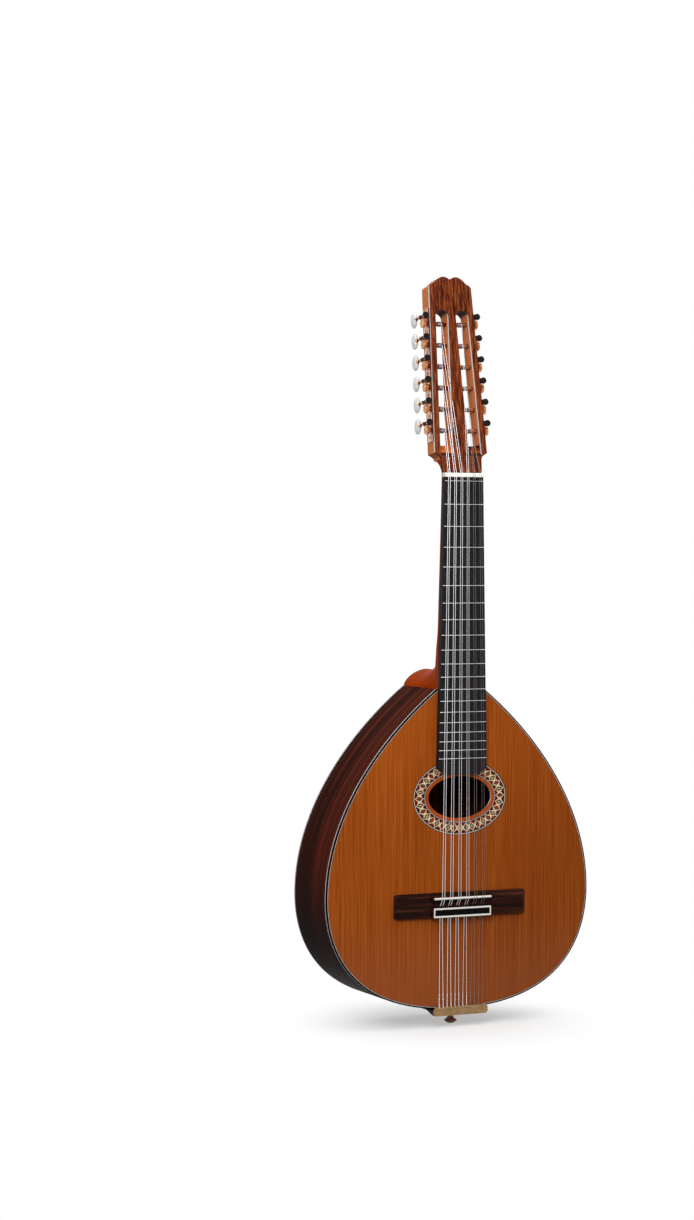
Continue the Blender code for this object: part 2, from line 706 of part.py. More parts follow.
def make_slot_cutters(frame, hand, label):
    """Cutters for one string slot, for its ramp towards the nut and for the bores of its posts."""
    outer = -hand * SLOT_WALL
    inner = -hand * (SLOT_WALL + SLOT_WIDTH)
    middle = (outer + inner) / 2
    radius = SLOT_WIDTH / 2
    deep = HEAD_THICKNESS + VENEER_THICKNESS
    slot = [(outer, SLOT_START - SHOULDER_HEIGHT), (inner, SLOT_START - SHOULDER_HEIGHT)]
    arch_t = SLOT_END - SHOULDER_HEIGHT - radius
    for step in range(SLOT_END_STEPS + 1):
        angle = pi * step / SLOT_END_STEPS
        slot.append((middle - hand * radius * cos(angle), arch_t + radius * sin(angle)))
    slot_cut = add_object("cut_slot_" + label, prism(slot, -deep, 2 * deep, from_front), parent=frame)

    start = RAMP_START - SHOULDER_HEIGHT
    end = SLOT_START - SHOULDER_HEIGHT + GLUE_GAP
    ramp = [(VENEER_FRONT, start), (VENEER_FRONT + RAMP_DEPTH, end), (-deep, end), (-deep, start)]
    low, high = sorted((outer - hand * GLUE_GAP, inner + hand * GLUE_GAP))
    ramp_cut = add_object("cut_ramp_" + label, prism(ramp, low, high, from_side), parent=frame)

    bores = bmesh.new()
    low, high = sorted((hand * SLOT_WALL, inner - hand * (POST_IN_WEB + RUNNING_GAP)))
    for number in range(MACHINES_PER_SIDE):
        circle = bore(POST_DEPTH, post_height(number), POST_RADIUS, RUNNING_GAP)
        add_prism(bores, circle, low, high, from_side)
    bore_cut = add_object("cut_bores_" + label, bores, parent=frame)
    return slot_cut, ramp_cut, bore_cut


def make_head():
    """The slotted head with its face veneer; returns the frame of each side's machines."""
    head_frame = add_frame("head_frame", None, (0, 0, HEAD_Z), (-HEAD_TILT, 0, 0))
    wood = prism(head_outline(THROAT_LENGTH + GLUE_GAP, THROAT_HALF_WIDTH), 0, HEAD_THICKNESS, from_front)
    face = prism(head_outline(GLUE_GAP, NUT_WIDTH / 2), VENEER_FRONT, -GLUE_GAP, from_front)
    head = add_object("head", wood, "cedar_neck", parent=head_frame)
    veneer = add_object("head_veneer", face, "rosewood_head", parent=head_frame)
    frames = {}
    for hand, label in ((-1, "left"), (1, "right")):
        corner = (hand * SHOULDER_HALF_WIDTH, 0, SHOULDER_HEIGHT)
        frame = add_frame("machines_" + label, head_frame, corner, (0, -hand * SIDE_TAPER, 0))
        slot, ramp, bores = make_slot_cutters(frame, hand, label)
        for target in (head, veneer):
            boolean(target, slot)
            boolean(target, ramp)
        boolean(head, bores)
        frames[label] = (frame, hand)
    return frames


def winding_from_side(hand, number):
    """How far inside the head's side a string winds on its post, near the left edge of either slot."""
    share = number / (MACHINES_PER_SIDE - 1)
    spread = WINDING_FROM_EDGE_TIP_END - WINDING_FROM_EDGE_NUT_END
    from_edge = WINDING_FROM_EDGE_NUT_END + spread * share
    return SLOT_WALL + (from_edge if hand < 0 else SLOT_WIDTH - from_edge)


def make_post(name, frame, hand, number):
    """A string post with its wound string and the toothed gear on its outer end."""
    def along_x(a, b, u):
        return (hand * u, a, b)

    wound = -winding_from_side(hand, number)
    inner = -(SLOT_WALL + SLOT_WIDTH + POST_IN_WEB)
    gear_in = SHAFT_STANDOFF - GEAR_THICKNESS / 2
    gear_out = SHAFT_STANDOFF + GEAR_THICKNESS / 2
    stations = [
        (inner, POST_RADIUS),
        (wound - WINDING_LENGTH / 2, POST_RADIUS),
        (wound - WINDING_LENGTH / 2 + GLUE_GAP, WINDING_RADIUS),
        (wound + WINDING_LENGTH / 2 - GLUE_GAP, WINDING_RADIUS),
        (wound + WINDING_LENGTH / 2, POST_RADIUS),
        (gear_out + GLUE_GAP, POST_RADIUS),
    ]
    post = add_object(name, turned(stations, MACHINE_SIDES, along_x), "gilt", frame, radians(40))
    post.location = (0, POST_DEPTH, post_height(number))
    rim = []
    for tooth in range(GEAR_TEETH):
        for share, radius in ((0, GEAR_RADIUS), (0.5, GEAR_RADIUS - GEAR_TOOTH_HEIGHT)):
            angle = 2 * pi * (tooth + share) / GEAR_TEETH
            rim.append((radius * cos(angle), radius * sin(angle)))
    teeth = add_object("weld_gear_" + name, prism(rim, gear_in, gear_out, along_x), parent=frame)
    teeth.location = post.location
    boolean(post, teeth, "UNION")


def make_worm(name, frame, hand, number):
    """A worm shaft across the gear, with its front knob, collar and oval button."""
    def along_n(a, b, n):
        return (a, n, b)

    front = POST_DEPTH - PLATE_WIDTH / 2
    back = POST_DEPTH + PLATE_WIDTH / 2
    worm_front = front + LUG_THICKNESS + RUNNING_GAP
    worm_back = back - LUG_THICKNESS - RUNNING_GAP
    knob = front - RUNNING_GAP
    collar = back + RUNNING_GAP
    button = HEAD_THICKNESS + BUTTON_BEHIND_HEAD
    shaft = JOURNAL_RADIUS
    stations = [
        (knob - KNOB_THICKNESS, KNOB_RADIUS * 0.8),
        (knob, KNOB_RADIUS),
        (knob, shaft),
        (worm_front, shaft),
        (worm_front, WORM_RADIUS),
        (worm_back, WORM_RADIUS),
        (worm_back, shaft),
        (collar, shaft),
        (collar, COLLAR_RADIUS),
        (collar + COLLAR_THICKNESS, COLLAR_RADIUS),
        (collar + COLLAR_THICKNESS, shaft),
        (button, shaft),
    ]
    for share, size in ((0.04, 0.68), (0.4, 1.0), (0.8, 0.9), (1.0, 0.48)):
        along = button + BUTTON_LENGTH * share
        stations.append((along, BUTTON_HALF_THICKNESS * size, BUTTON_HALF_HEIGHT * size))
    worm = add_object(name, turned(stations, MACHINE_SIDES, along_n), "pearloid", frame, radians(50))
    worm.location = (hand * SHAFT_STANDOFF, 0, post_height(number) + WORM_ABOVE_POST)


def make_plate(name, frame, hand):
    """A long side plate with a pair of bearing lugs bent out at each worm."""
    def ordered(low, high):
        return sorted((hand * low, hand * high))

    front = POST_DEPTH - PLATE_WIDTH / 2
    back = POST_DEPTH + PLATE_WIDTH / 2
    strip = [
        (front, PLATE_START - SHOULDER_HEIGHT), (back, PLATE_START - SHOULDER_HEIGHT),
        (back, PLATE_END - SHOULDER_HEIGHT), (front, PLATE_END - SHOULDER_HEIGHT),
    ]
    plate = add_object(name, prism(strip, *ordered(GLUE_GAP, PLATE_OUTER), from_side), "brass", frame)
    lugs = bmesh.new()
    worm_bores = bmesh.new()
    post_bores = bmesh.new()
    root = PLATE_OUTER - PLATE_THICKNESS / 2
    for number in range(MACHINES_PER_SIDE):
        worm_t = post_height(number) + WORM_ABOVE_POST
        tab = [(hand * root, worm_t - LUG_RADIUS), (hand * root, worm_t + LUG_RADIUS)]
        for step in range(5):
            angle = pi / 2 - pi * step / 4
            tab.append((
                hand * (SHAFT_STANDOFF + LUG_RADIUS * cos(angle)),
                worm_t + LUG_RADIUS * sin(angle),
            ))
        hole = bore(hand * SHAFT_STANDOFF, worm_t, JOURNAL_RADIUS, RUNNING_GAP)
        add_prism(lugs, tab, front, front + LUG_THICKNESS, from_front)
        add_prism(lugs, tab, back - LUG_THICKNESS, back, from_front)
        add_prism(worm_bores, hole, front - LUG_THICKNESS, back + LUG_THICKNESS, from_front)
        circle = bore(POST_DEPTH, post_height(number), POST_RADIUS, RUNNING_GAP)
        add_prism(post_bores, circle, *ordered(-PLATE_OUTER, 2 * PLATE_OUTER), from_side)
    boolean(plate, add_object("weld_lugs_" + name, lugs, parent=frame), "UNION")
    boolean(plate, add_object("cut_worms_" + name, worm_bores, parent=frame))
    boolean(plate, add_object("cut_posts_" + name, post_bores, parent=frame))


def make_machines(frames):
    """Six machines with their plate on each side of the head."""
    for label, (frame, hand) in frames.items():
        make_plate("tuner_plate_" + label, frame, hand)
        for number in range(MACHINES_PER_SIDE):
            make_post("string_post_{}_{}".format(label, number + 1), frame, hand, number)
            make_worm("tuning_button_{}_{}".format(label, number + 1), frame, hand, number)


def string_x(index, course_pitch, pair_gap):
    """Where a string lies across the instrument, from an index that counts from the bass side."""
    course, second = divmod(index, 2)
    middle = (course - (COURSES - 1) / 2) * course_pitch
    return middle + (second - 0.5) * pair_gap


def string_radius(index):
    """Half the diameter of a string."""
    return (BASS_DIAMETERS + TREBLE_DIAMETERS)[index // 2] / 2


def post_of(index):
    """The hand and the number of the post that a string winds on: the outer strings take the near posts."""
    if index < MACHINES_PER_SIDE:
        return -1, index
    return 1, 2 * COURSES - 1 - index


def string_route(index):
    """The points of one string from the tailpiece to its post."""
    radius = string_radius(index)
    tail_x = (index - (2 * COURSES - 1) / 2) * STRING_PITCH_TAIL
    saddle_x = string_x(index, COURSE_PITCH_SADDLE, PAIR_GAP_SADDLE)
    nut_x = string_x(index, COURSE_PITCH_NUT, PAIR_GAP_NUT)
    hook_y = -(TAILPIECE_STANDOFF + TAILPIECE_SHEET / 2)
    hole_y = -STRING_HOLE_HEIGHT
    saddle_y = SADDLE_FRONT - GLUE_GAP - radius
    nut_y = NUT_FRONT - GLUE_GAP - radius
    hand, number = post_of(index)
    post_t = POST_START + number * POST_PITCH
    depth = POST_DEPTH - WINDING_RADIUS - GLUE_GAP - radius
    side = head_side_x(post_t)
    winding_x = hand * (side - winding_from_side(hand, number) * cos(SIDE_TAPER))
    end = in_head(winding_x, depth, post_t)
    nut_low = Vector((nut_x, nut_y, NUT_BOTTOM_Z))
    nut_high = Vector((nut_x, nut_y, NUT_TOP_Z - NUT_THICKNESS / 3))
    saddle = Vector((saddle_x, saddle_y, SADDLE_Z))
    saddle_rounding = Vector((0, 0, SADDLE_THICKNESS / 3))
    below_saddle = saddle + Vector((0, GLUE_GAP, -SADDLE_THICKNESS / 2 - GLUE_GAP))
    return [
        Vector((tail_x, hook_y, TAIL_Z + TAILPIECE_ABOVE_TAIL + GLUE_GAP)),
        Vector((saddle_x, hole_y, BRIDGE_BOTTOM_Z - 2 * STRING_HOLE_RADIUS)),
        Vector((saddle_x, hole_y, TIE_BLOCK_TOP_Z)),
        below_saddle,
        saddle + saddle_rounding,
        nut_low,
        nut_high,
        end,
    ]


def make_strings():
    """Twelve strings, two to a course, wound ones on the bass side."""
    for index in range(2 * COURSES):
        name = "string_{}{}".format(COURSES - index // 2, "ab"[index % 2])
        curve = bpy.data.curves.new(name, "CURVE")
        curve.dimensions = "3D"
        curve.bevel_depth = string_radius(index)
        curve.bevel_resolution = 1
        curve.use_fill_caps = True
        route = string_route(index)
        spline = curve.splines.new("POLY")
        spline.points.add(len(route) - 1)
        for point, place in zip(spline.points, route):
            point.co = (*place, 1.0)
        finish = "wound_string" if index < COURSES + 2 else "plain_string"
        curve.materials.append(make_material(finish))
        obj = bpy.data.objects.new(name, curve)
        bpy.context.scene.collection.objects.link(obj)


def make_bridge():
    """The bridge with its wings, saddle slot, valley and drilled tie block, and what it carries."""
    top, bottom = BRIDGE_TOP_Z, BRIDGE_BOTTOM_Z
    wing_front = -GLUE_GAP - BRIDGE_WING
    block_front = -GLUE_GAP - BRIDGE_BLOCK
    valley_front = -GLUE_GAP - BRIDGE_VALLEY
    half = BRIDGE_WIDTH / 2
    chamfer = BRIDGE_WING / 4
    wings = [
        (-GLUE_GAP, top), (-GLUE_GAP, bottom), (wing_front + chamfer, bottom), (wing_front, bottom + chamfer),
        (wing_front, top - chamfer), (wing_front + chamfer, top),
    ]
    bridge_obj = add_object("bridge", prism(wings, -half, half, from_side), "rosewood")
    low = -2 * GLUE_GAP
    behind_saddle = SADDLE_Z - SADDLE_THICKNESS * 1.5
    block = [
        (low, top - GLUE_GAP), (low, bottom + GLUE_GAP), (block_front, bottom + GLUE_GAP),
        (block_front, TIE_BLOCK_TOP_Z), (valley_front, TIE_BLOCK_TOP_Z),
        (valley_front, behind_saddle - (BRIDGE_BLOCK - BRIDGE_VALLEY) / 2), (block_front, behind_saddle),
        (block_front, SADDLE_Z + SADDLE_THICKNESS),
    ]
    half = BRIDGE_BLOCK_WIDTH / 2
    boolean(bridge_obj, add_object("weld_bridge_block", prism(block, -half, half, from_side)), "UNION")

    slot_back = block_front + SADDLE_SLOT_DEPTH
    half_slot = SADDLE_THICKNESS / 2 + GLUE_GAP
    slot = [
        (slot_back, SADDLE_Z - half_slot), (slot_back, SADDLE_Z + half_slot),
        (2 * block_front, SADDLE_Z + half_slot), (2 * block_front, SADDLE_Z - half_slot),
    ]
    half = SADDLE_WIDTH / 2 + GLUE_GAP
    boolean(bridge_obj, add_object("cut_saddle_slot", prism(slot, -half, half, from_side)))
    holes = bmesh.new()
    for index in range(2 * COURSES):
        x = string_x(index, COURSE_PITCH_SADDLE, PAIR_GAP_SADDLE)
        circle = bore(x, -STRING_HOLE_HEIGHT, STRING_HOLE_RADIUS, 0)
        add_prism(holes, circle, 2 * bottom - TIE_BLOCK_TOP_Z, TIE_BLOCK_TOP_Z + GLUE_GAP * 5, from_end)
    boolean(bridge_obj, add_object("cut_string_holes", holes))

    crown = SADDLE_THICKNESS / 4
    low = SADDLE_Z - SADDLE_THICKNESS / 2
    high = SADDLE_Z + SADDLE_THICKNESS / 2
    bar = [
        (slot_back - GLUE_GAP, low), (slot_back - GLUE_GAP, high), (SADDLE_FRONT + crown, high),
        (SADDLE_FRONT, high - crown), (SADDLE_FRONT, low + crown), (SADDLE_FRONT + crown, low),
    ]
    half = SADDLE_WIDTH / 2
    add_object("saddle", prism(bar, -half, half, from_side), "bone")

    middle = (bottom + TIE_BLOCK_TOP_Z) / 2
    outer = rectangle(FRAME_WIDTH, FRAME_LENGTH, middle)
    inner = rectangle(FRAME_WIDTH - 2 * FRAME_BORDER, FRAME_LENGTH - 2 * FRAME_BORDER, middle)
    back = block_front - GLUE_GAP
    add_object("tie_block_frame", hoop(outer, inner, back - FRAME_THICKNESS, back), "bone")


def rectangle(width, height, middle_z):
    """A rectangle on the centre line, seen from the front."""
    x, z = width / 2, height / 2
    return [(-x, middle_z - z), (-x, middle_z + z), (x, middle_z + z), (x, middle_z - z)]


def make_tailpiece(sides, tail_block):
    """The folded brass tailpiece over the tail edge, held by the turned end pin."""
    face = -TAILPIECE_STANDOFF
    front = face - TAILPIECE_SHEET
    top = TAIL_Z + TAILPIECE_ABOVE_TAIL
    bottom = TAIL_Z - TAILPIECE_BELOW_TAIL
    seat = TAIL_Z - GLUE_GAP
    bend = TAILPIECE_SLOPE_LENGTH
    end = bend + TAILPIECE_FOOT_LENGTH
    sheet = TAILPIECE_SHEET
    profile = [
        (front, top), (front, bottom), (bend, seat - sheet), (end, seat - sheet),
        (end, seat), (bend, seat), (face, bottom + sheet), (face, top),
    ]
    half = TAILPIECE_WIDTH / 2
    tailpiece = add_object("tailpiece", prism(profile, -half, half, from_side), "brass")
    cheek = [(face - sheet / 2, seat), (face - sheet / 2, bottom + sheet / 2), (bend, seat - sheet / 2)]
    cheek.append((bend, seat))
    cheeks = bmesh.new()
    for low in (-half + GLUE_GAP, half - GLUE_GAP - sheet):
        add_prism(cheeks, cheek, low, low + sheet, from_side)
    boolean(tailpiece, add_object("weld_cheeks", cheeks), "UNION")
    corners = bmesh.new()
    for hand in (-1, 1):
        for z, way in ((top, 1), (bottom, -1)):
            over = TAILPIECE_CORNER
            triangle = [
                (hand * (half - 2 * over), z + way * over), (hand * (half + over), z + way * over),
                (hand * (half + over), z - way * 2 * over),
            ]
            add_prism(corners, triangle, 2 * front, face + sheet / 2, from_front)
    boolean(tailpiece, add_object("cut_corners", corners))

    def along_pin(a, b, z):
        return (a, PIN_BEHIND_FRONT + b, z)

    tip = TAIL_Z - PIN_LENGTH - GLUE_GAP
    collar = seat - sheet - GLUE_GAP
    stations = [(TAIL_Z + PIN_TENON_LENGTH, PIN_TENON_RADIUS * PIN_TENON_TAPER), (collar, PIN_TENON_RADIUS)]
    for share, size in PIN_FORM:
        stations.append((collar + (tip - collar) * share, PIN_RIM_RADIUS * size))
    add_object("end_pin", turned(stations, PIN_SIDES, along_pin), "rosewood", smooth_angle=radians(40))
    drill = [(TAIL_Z + PIN_TENON_LENGTH + GLUE_GAP, PIN_TENON_RADIUS + GLUE_GAP)]
    drill.append((TAIL_Z - PIN_TENON_LENGTH, PIN_TENON_RADIUS + GLUE_GAP))
    cutter = add_object("cut_pin_bore", turned(drill, PIN_SIDES, along_pin))
    for drilled in [tailpiece, tail_block] + sides:
        boolean(drilled, cutter)


def make_laud():
    """All the pieces of the instrument."""
    clear_scene()
    sides, tail_block = make_body()
    make_neck()
    make_fingerboard()
    frames = make_head()
    make_machines(frames)
    make_strings()
    make_bridge()
    make_tailpiece(sides, tail_block)


make_laud()
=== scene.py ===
# %% [markdown]
# # A laud, dressed for its picture
# The laud is a Spanish lute with twelve strings in six pairs. Its solids and joints come from a packed
# frame, which is loaded first. Every cell below makes one piece or one finish a little finer than the
# solid that it covers, and the piece then rides on that solid's body. Lengths are in metres, so one that
# reads in millimetres is written with MM; a texture's own numbers are in millimetres.

# %% The frame
from math import cos, pi, radians, sin, sqrt, tan

import bmesh
import bpy
from mathutils import Matrix, Vector
from mathutils.geometry import interpolate_bezier, tessellate_polygon


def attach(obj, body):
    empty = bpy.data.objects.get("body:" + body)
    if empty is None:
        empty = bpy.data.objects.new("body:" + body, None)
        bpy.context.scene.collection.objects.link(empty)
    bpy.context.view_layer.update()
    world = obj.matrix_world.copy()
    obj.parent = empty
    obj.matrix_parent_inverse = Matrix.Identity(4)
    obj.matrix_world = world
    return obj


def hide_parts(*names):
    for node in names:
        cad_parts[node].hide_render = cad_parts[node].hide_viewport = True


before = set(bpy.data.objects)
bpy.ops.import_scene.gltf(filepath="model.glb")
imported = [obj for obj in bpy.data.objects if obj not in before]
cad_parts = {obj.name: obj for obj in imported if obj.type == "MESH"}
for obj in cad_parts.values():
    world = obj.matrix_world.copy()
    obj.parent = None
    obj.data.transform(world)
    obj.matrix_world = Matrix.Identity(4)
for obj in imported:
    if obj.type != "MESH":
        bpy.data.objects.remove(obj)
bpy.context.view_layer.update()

MM = 0.001


def add_object(name, data):
    """Put an object in the scene."""
    obj = bpy.data.objects.new(name, data)
    bpy.context.scene.collection.objects.link(obj)
    return obj


# %% [markdown]
# The camera comes first, so that a render is worth looking at from the start. The photograph was taken
# from the left of the laud with a long lens. A lens is a length on a 36 mm sensor, so it follows from how
# many pixels the picture is high and how many pixels one radian takes.

# %% The camera
IMAGE_HEIGHT_PX = 1220
PIXELS_PER_RADIAN = 2800
SENSOR = 36.0
CAMERA_PLACE = (-1.5470, -2.9935, -0.0729)
CAMERA_TURN = radians(-25)
CAMERA_RISE = radians(90 - 1.407)
CAMERA_ROLL = 0.0045
camera_data = bpy.data.cameras.new("camera")
camera_data.sensor_fit = "VERTICAL"
camera_data.sensor_height = SENSOR
camera_data.lens = SENSOR * PIXELS_PER_RADIAN / IMAGE_HEIGHT_PX
camera = add_object("camera", camera_data)
camera.location = CAMERA_PLACE
turn = Matrix.Rotation(CAMERA_TURN, 3, "Z") @ Matrix.Rotation(CAMERA_RISE, 3, "X")
camera.rotation_euler = (turn @ Matrix.Rotation(CAMERA_ROLL, 3, "Z")).to_euler()
bpy.context.scene.camera = camera
bpy.context.scene.view_settings.view_transform = "Standard"
print("lens: {:.1f} mm".format(camera_data.lens))

# %% [markdown]
# Three large soft lamps stand for a studio's softboxes. Blender could also light the laud with the world
# alone, but lamps give the side a darker tone than the soundboard. The world looks white to the camera
# and to anything shiny, and lights the pieces only a little.

# %% The lamps
LAMPS = (
    ("key", (-1.2, -1.6, 0.75), (0, 0, -0.25), 1.0, 24),
    ("fill", (3.0, -1.2, 0.6), (0, 0, -0.3), 1.8, 16),
    ("top", (0.0, -0.6, 2.6), (0, 0, -0.4), 2.2, 40),
)
for name, place, aim, size, power in LAMPS:
    data = bpy.data.lights.new(name, "AREA")
    data.size, data.energy = size, power
    lamp = add_object(name, data)
    lamp.location = place
    lamp.rotation_euler = (Vector(aim) - Vector(place)).to_track_quat("-Z", "Y").to_euler()
print("lamps:", len(LAMPS))


# %% [markdown]
# Shader maths reads best as plain expressions. A small class wraps a node's output, and Python's
# operators on it add Math nodes. One method of the finish adds any other node.

# %% Helpers for finishes
class Wire:
    """A number, colour or vector that comes out of a node."""

    def __init__(self, finish, output):
        self.finish, self.output = finish, output

    def __add__(self, other):
        return self.finish.maths("ADD", self, other)

    def __sub__(self, other):
        return self.finish.maths("SUBTRACT", self, other)

    def __rsub__(self, other):
        return self.finish.maths("SUBTRACT", other, self)

    def __mul__(self, other):
        return self.finish.maths("MULTIPLY", self, other)

    __radd__, __rmul__ = __add__, __mul__


def paint(colour):
    """A colour as a screen shows it, from 0 to 255, turned into the values that shaders use."""
    if isinstance(colour, Wire):
        return colour
    channels = []
    for value in colour:
        share = value / 255
        channels.append(share / 12.92 if share <= 0.04045 else ((share + 0.055) / 1.055) ** 2.4)
    return (*channels, 1.0)


class Finish:
    """A material in the making, or the world's light."""

    def __init__(self, owner):
        self.owner = bpy.data.materials.new(owner) if isinstance(owner, str) else owner
        self.owner.use_nodes = True
        self.tree = self.owner.node_tree
        self.tree.nodes.clear()

    def node(self, kind, settings=None, values=(), output=0):
        """Add a node: its settings first, then the values or wires of its sockets."""
        made = self.tree.nodes.new(kind)
        for key, setting in (settings or {}).items():
            if key == "stops":
                ramp = made.color_ramp
                while len(ramp.elements) < len(setting):
                    ramp.elements.new(1.0)
                for element, (place, colour) in zip(ramp.elements, setting):
                    element.position, element.color = place, paint(colour)
            else:
                setattr(made, key, setting)
        for key, value in values.items() if isinstance(values, dict) else enumerate(values):
            if isinstance(value, Wire):
                self.tree.links.new(value.output, made.inputs[key])
            else:
                made.inputs[key].default_value = value
        return Wire(self, made.outputs[output]) if made.outputs else None

    def maths(self, operation, *values):
        """One step of arithmetic."""
        return self.node("ShaderNodeMath", {"operation": operation}, values)

    def place(self, stretch=(1, 1, 1), turn=(0, 0, 0)):
        """Points of the piece in millimetres, turned and then stretched."""
        spot = self.node("ShaderNodeTexCoord", output="Object")
        turned_spot = self.node("ShaderNodeMapping", {}, {"Vector": spot, "Rotation": turn})
        scale = [share / MM for share in stretch]
        return self.node("ShaderNodeMapping", {}, {"Vector": turned_spot, "Scale": scale})

    def axis(self, index, where=None):
        """One of the three numbers of a vector, or of the piece's own points."""
        return self.node("ShaderNodeSeparateXYZ", {}, [where or self.place()], index)

    def facing(self, index):
        """How far the surface faces along an axis."""
        return self.axis(index, self.node("ShaderNodeTexCoord", output="Normal"))

    def noise(self, where, scale=1.0, detail=3.0, distortion=0.0):
        """Cloudy values about a half."""
        values = {"Vector": where, "Scale": scale, "Detail": detail, "Distortion": distortion}
        return self.node("ShaderNodeTexNoise", {}, values)

    def ramp(self, factor, *stops):
        """A colour picked by a number."""
        return self.node("ShaderNodeValToRGB", {"stops": stops}, [factor])

    def step(self, value, start, end):
        """Zero at the start, one at the end and smooth between; the end may be the lower one."""
        values = {"Value": value, "From Min": start, "From Max": end}
        return self.node("ShaderNodeMapRange", {"interpolation_type": "SMOOTHSTEP"}, values)

    def blend(self, factor, first, second, how="MIX"):
        """Two colours mixed by a factor."""
        settings = {"data_type": "RGBA", "blend_type": how}
        return self.node("ShaderNodeMix", settings, {0: factor, 6: paint(first), 7: paint(second)}, output=2)

    def done(self, colour, roughness, height, depth, **sockets):
        """Close the finish: a Principled shader with a bump of that depth and other sockets by name."""
        bump = self.node("ShaderNodeBump", {}, {"Height": height, "Distance": depth * MM})
        named = {key.replace("_", " "): value for key, value in sockets.items()}
        named.update({"Base Color": colour, "Roughness": roughness, "Normal": bump})
        shader = self.node("ShaderNodeBsdfPrincipled", {}, named)
        self.node("ShaderNodeOutputMaterial", {}, {"Surface": shader})
        return self.owner


# %% [markdown]
# The floor and the world are stage. A white floor turns grey under soft light, so part of what the camera
# sees of it is plain white, and the rest still takes the laud's shadow. Light that bounces off the floor
# on to the laud is kept low, as in a large studio.

# %% The floor and the world
WORLD_LIGHT = 0.38
FLOOR_TONE, FLOOR_BOUNCE_TONE = 0.9, 0.15
FLOOR_PLAIN_SHARE = 0.43
FLOOR_FADE = (0.05, 0.21)
FLOOR_Z = -0.6570
FLOOR_REACH = 40.0
BODY_MIDDLE = (0, 0.03, FLOOR_Z)


def ray_kind(finish, kind):
    """One for rays of a kind, and zero for all others."""
    return finish.node("ShaderNodeLightPath", output=kind)


def seen_plain(finish):
    """One for rays that show the background: straight to the camera, in gloss or through glass."""
    shiny = finish.maths(
        "MAXIMUM", ray_kind(finish, "Is Glossy Ray"), ray_kind(finish, "Is Transmission Ray")
    )
    return finish.maths("MAXIMUM", ray_kind(finish, "Is Camera Ray"), shiny)


def make_floor_finish():
    """Matte white, part of it plain white to the camera, and all of it further from the laud."""
    finish = Finish("floor_white")
    tones = [
        finish.node("ShaderNodeBsdfDiffuse", {}, {"Color": (tone, tone, tone, 1)})
        for tone in (FLOOR_TONE, FLOOR_BOUNCE_TONE)
    ]
    matte = finish.node("ShaderNodeMixShader", {}, (ray_kind(finish, "Is Diffuse Ray"), *tones))
    plain = finish.node("ShaderNodeEmission", {}, {"Color": (1, 1, 1, 1), "Strength": 1.0})
    spot = finish.node("ShaderNodeTexCoord", output="Object")
    away = finish.node(
        "ShaderNodeVectorMath", {"operation": "DISTANCE"}, (spot, BODY_MIDDLE), output="Value"
    )
    far = finish.step(away, *FLOOR_FADE)
    share = seen_plain(finish) * (FLOOR_PLAIN_SHARE + far * (1 - FLOOR_PLAIN_SHARE))
    mixed = finish.node("ShaderNodeMixShader", {}, (share, matte, plain))
    finish.node("ShaderNodeOutputMaterial", {}, {"Surface": mixed})
    return finish.owner


floor_mesh = bpy.data.meshes.new("floor")
reach = FLOOR_REACH
corners = [(x, y, FLOOR_Z) for x, y in ((-reach, -reach), (reach, -reach), (reach, reach), (-reach, reach))]
floor_mesh.from_pydata(corners, [], [(0, 1, 2, 3)])
floor_mesh.materials.append(make_floor_finish())
floor = add_object("floor", floor_mesh)

world = bpy.data.worlds.new("studio")
bpy.context.scene.world = world
sky = Finish(world)
soft, white = [
    sky.node("ShaderNodeBackground", {}, {"Color": (1, 1, 1, 1), "Strength": strength})
    for strength in (WORLD_LIGHT, 1.0)
]
both = sky.node("ShaderNodeMixShader", {}, (seen_plain(sky), soft, white))
sky.node("ShaderNodeOutputWorld", {}, {"Surface": both})
print("floor at {:.1f} mm".format(FLOOR_Z / MM))

# %% [markdown]
# Wood is never one colour. Its growth lines are long and thin, so a cloud of noise is stretched along the
# grain until it turns into lines, and a second, finer one stands for the fibres. The soundboard is orange
# cedar, quarter sawn, so its lines run straight from neck to tail about a millimetre apart. Painted shade
# darkens it toward its right side and toward its lower end, and near the tail a dull pinkish brown is mixed
# in. Cut faces that look sideways, on the soundhole's ring and on the head, get painted light, and the head's
# faces that look down in the slots get painted shade.

# %% Cedar
BOARD_LEFT_TO_RIGHT = (-110, 110)
BOARD_UPPER_TO_LOWER = (-300, -450)
BOARD_LOWEST = (-500, -620)
HEAD_SLOTS_START = (120, 150)
HEAD_TILT = radians(9)
head_turn = (HEAD_TILT, 0, 0)


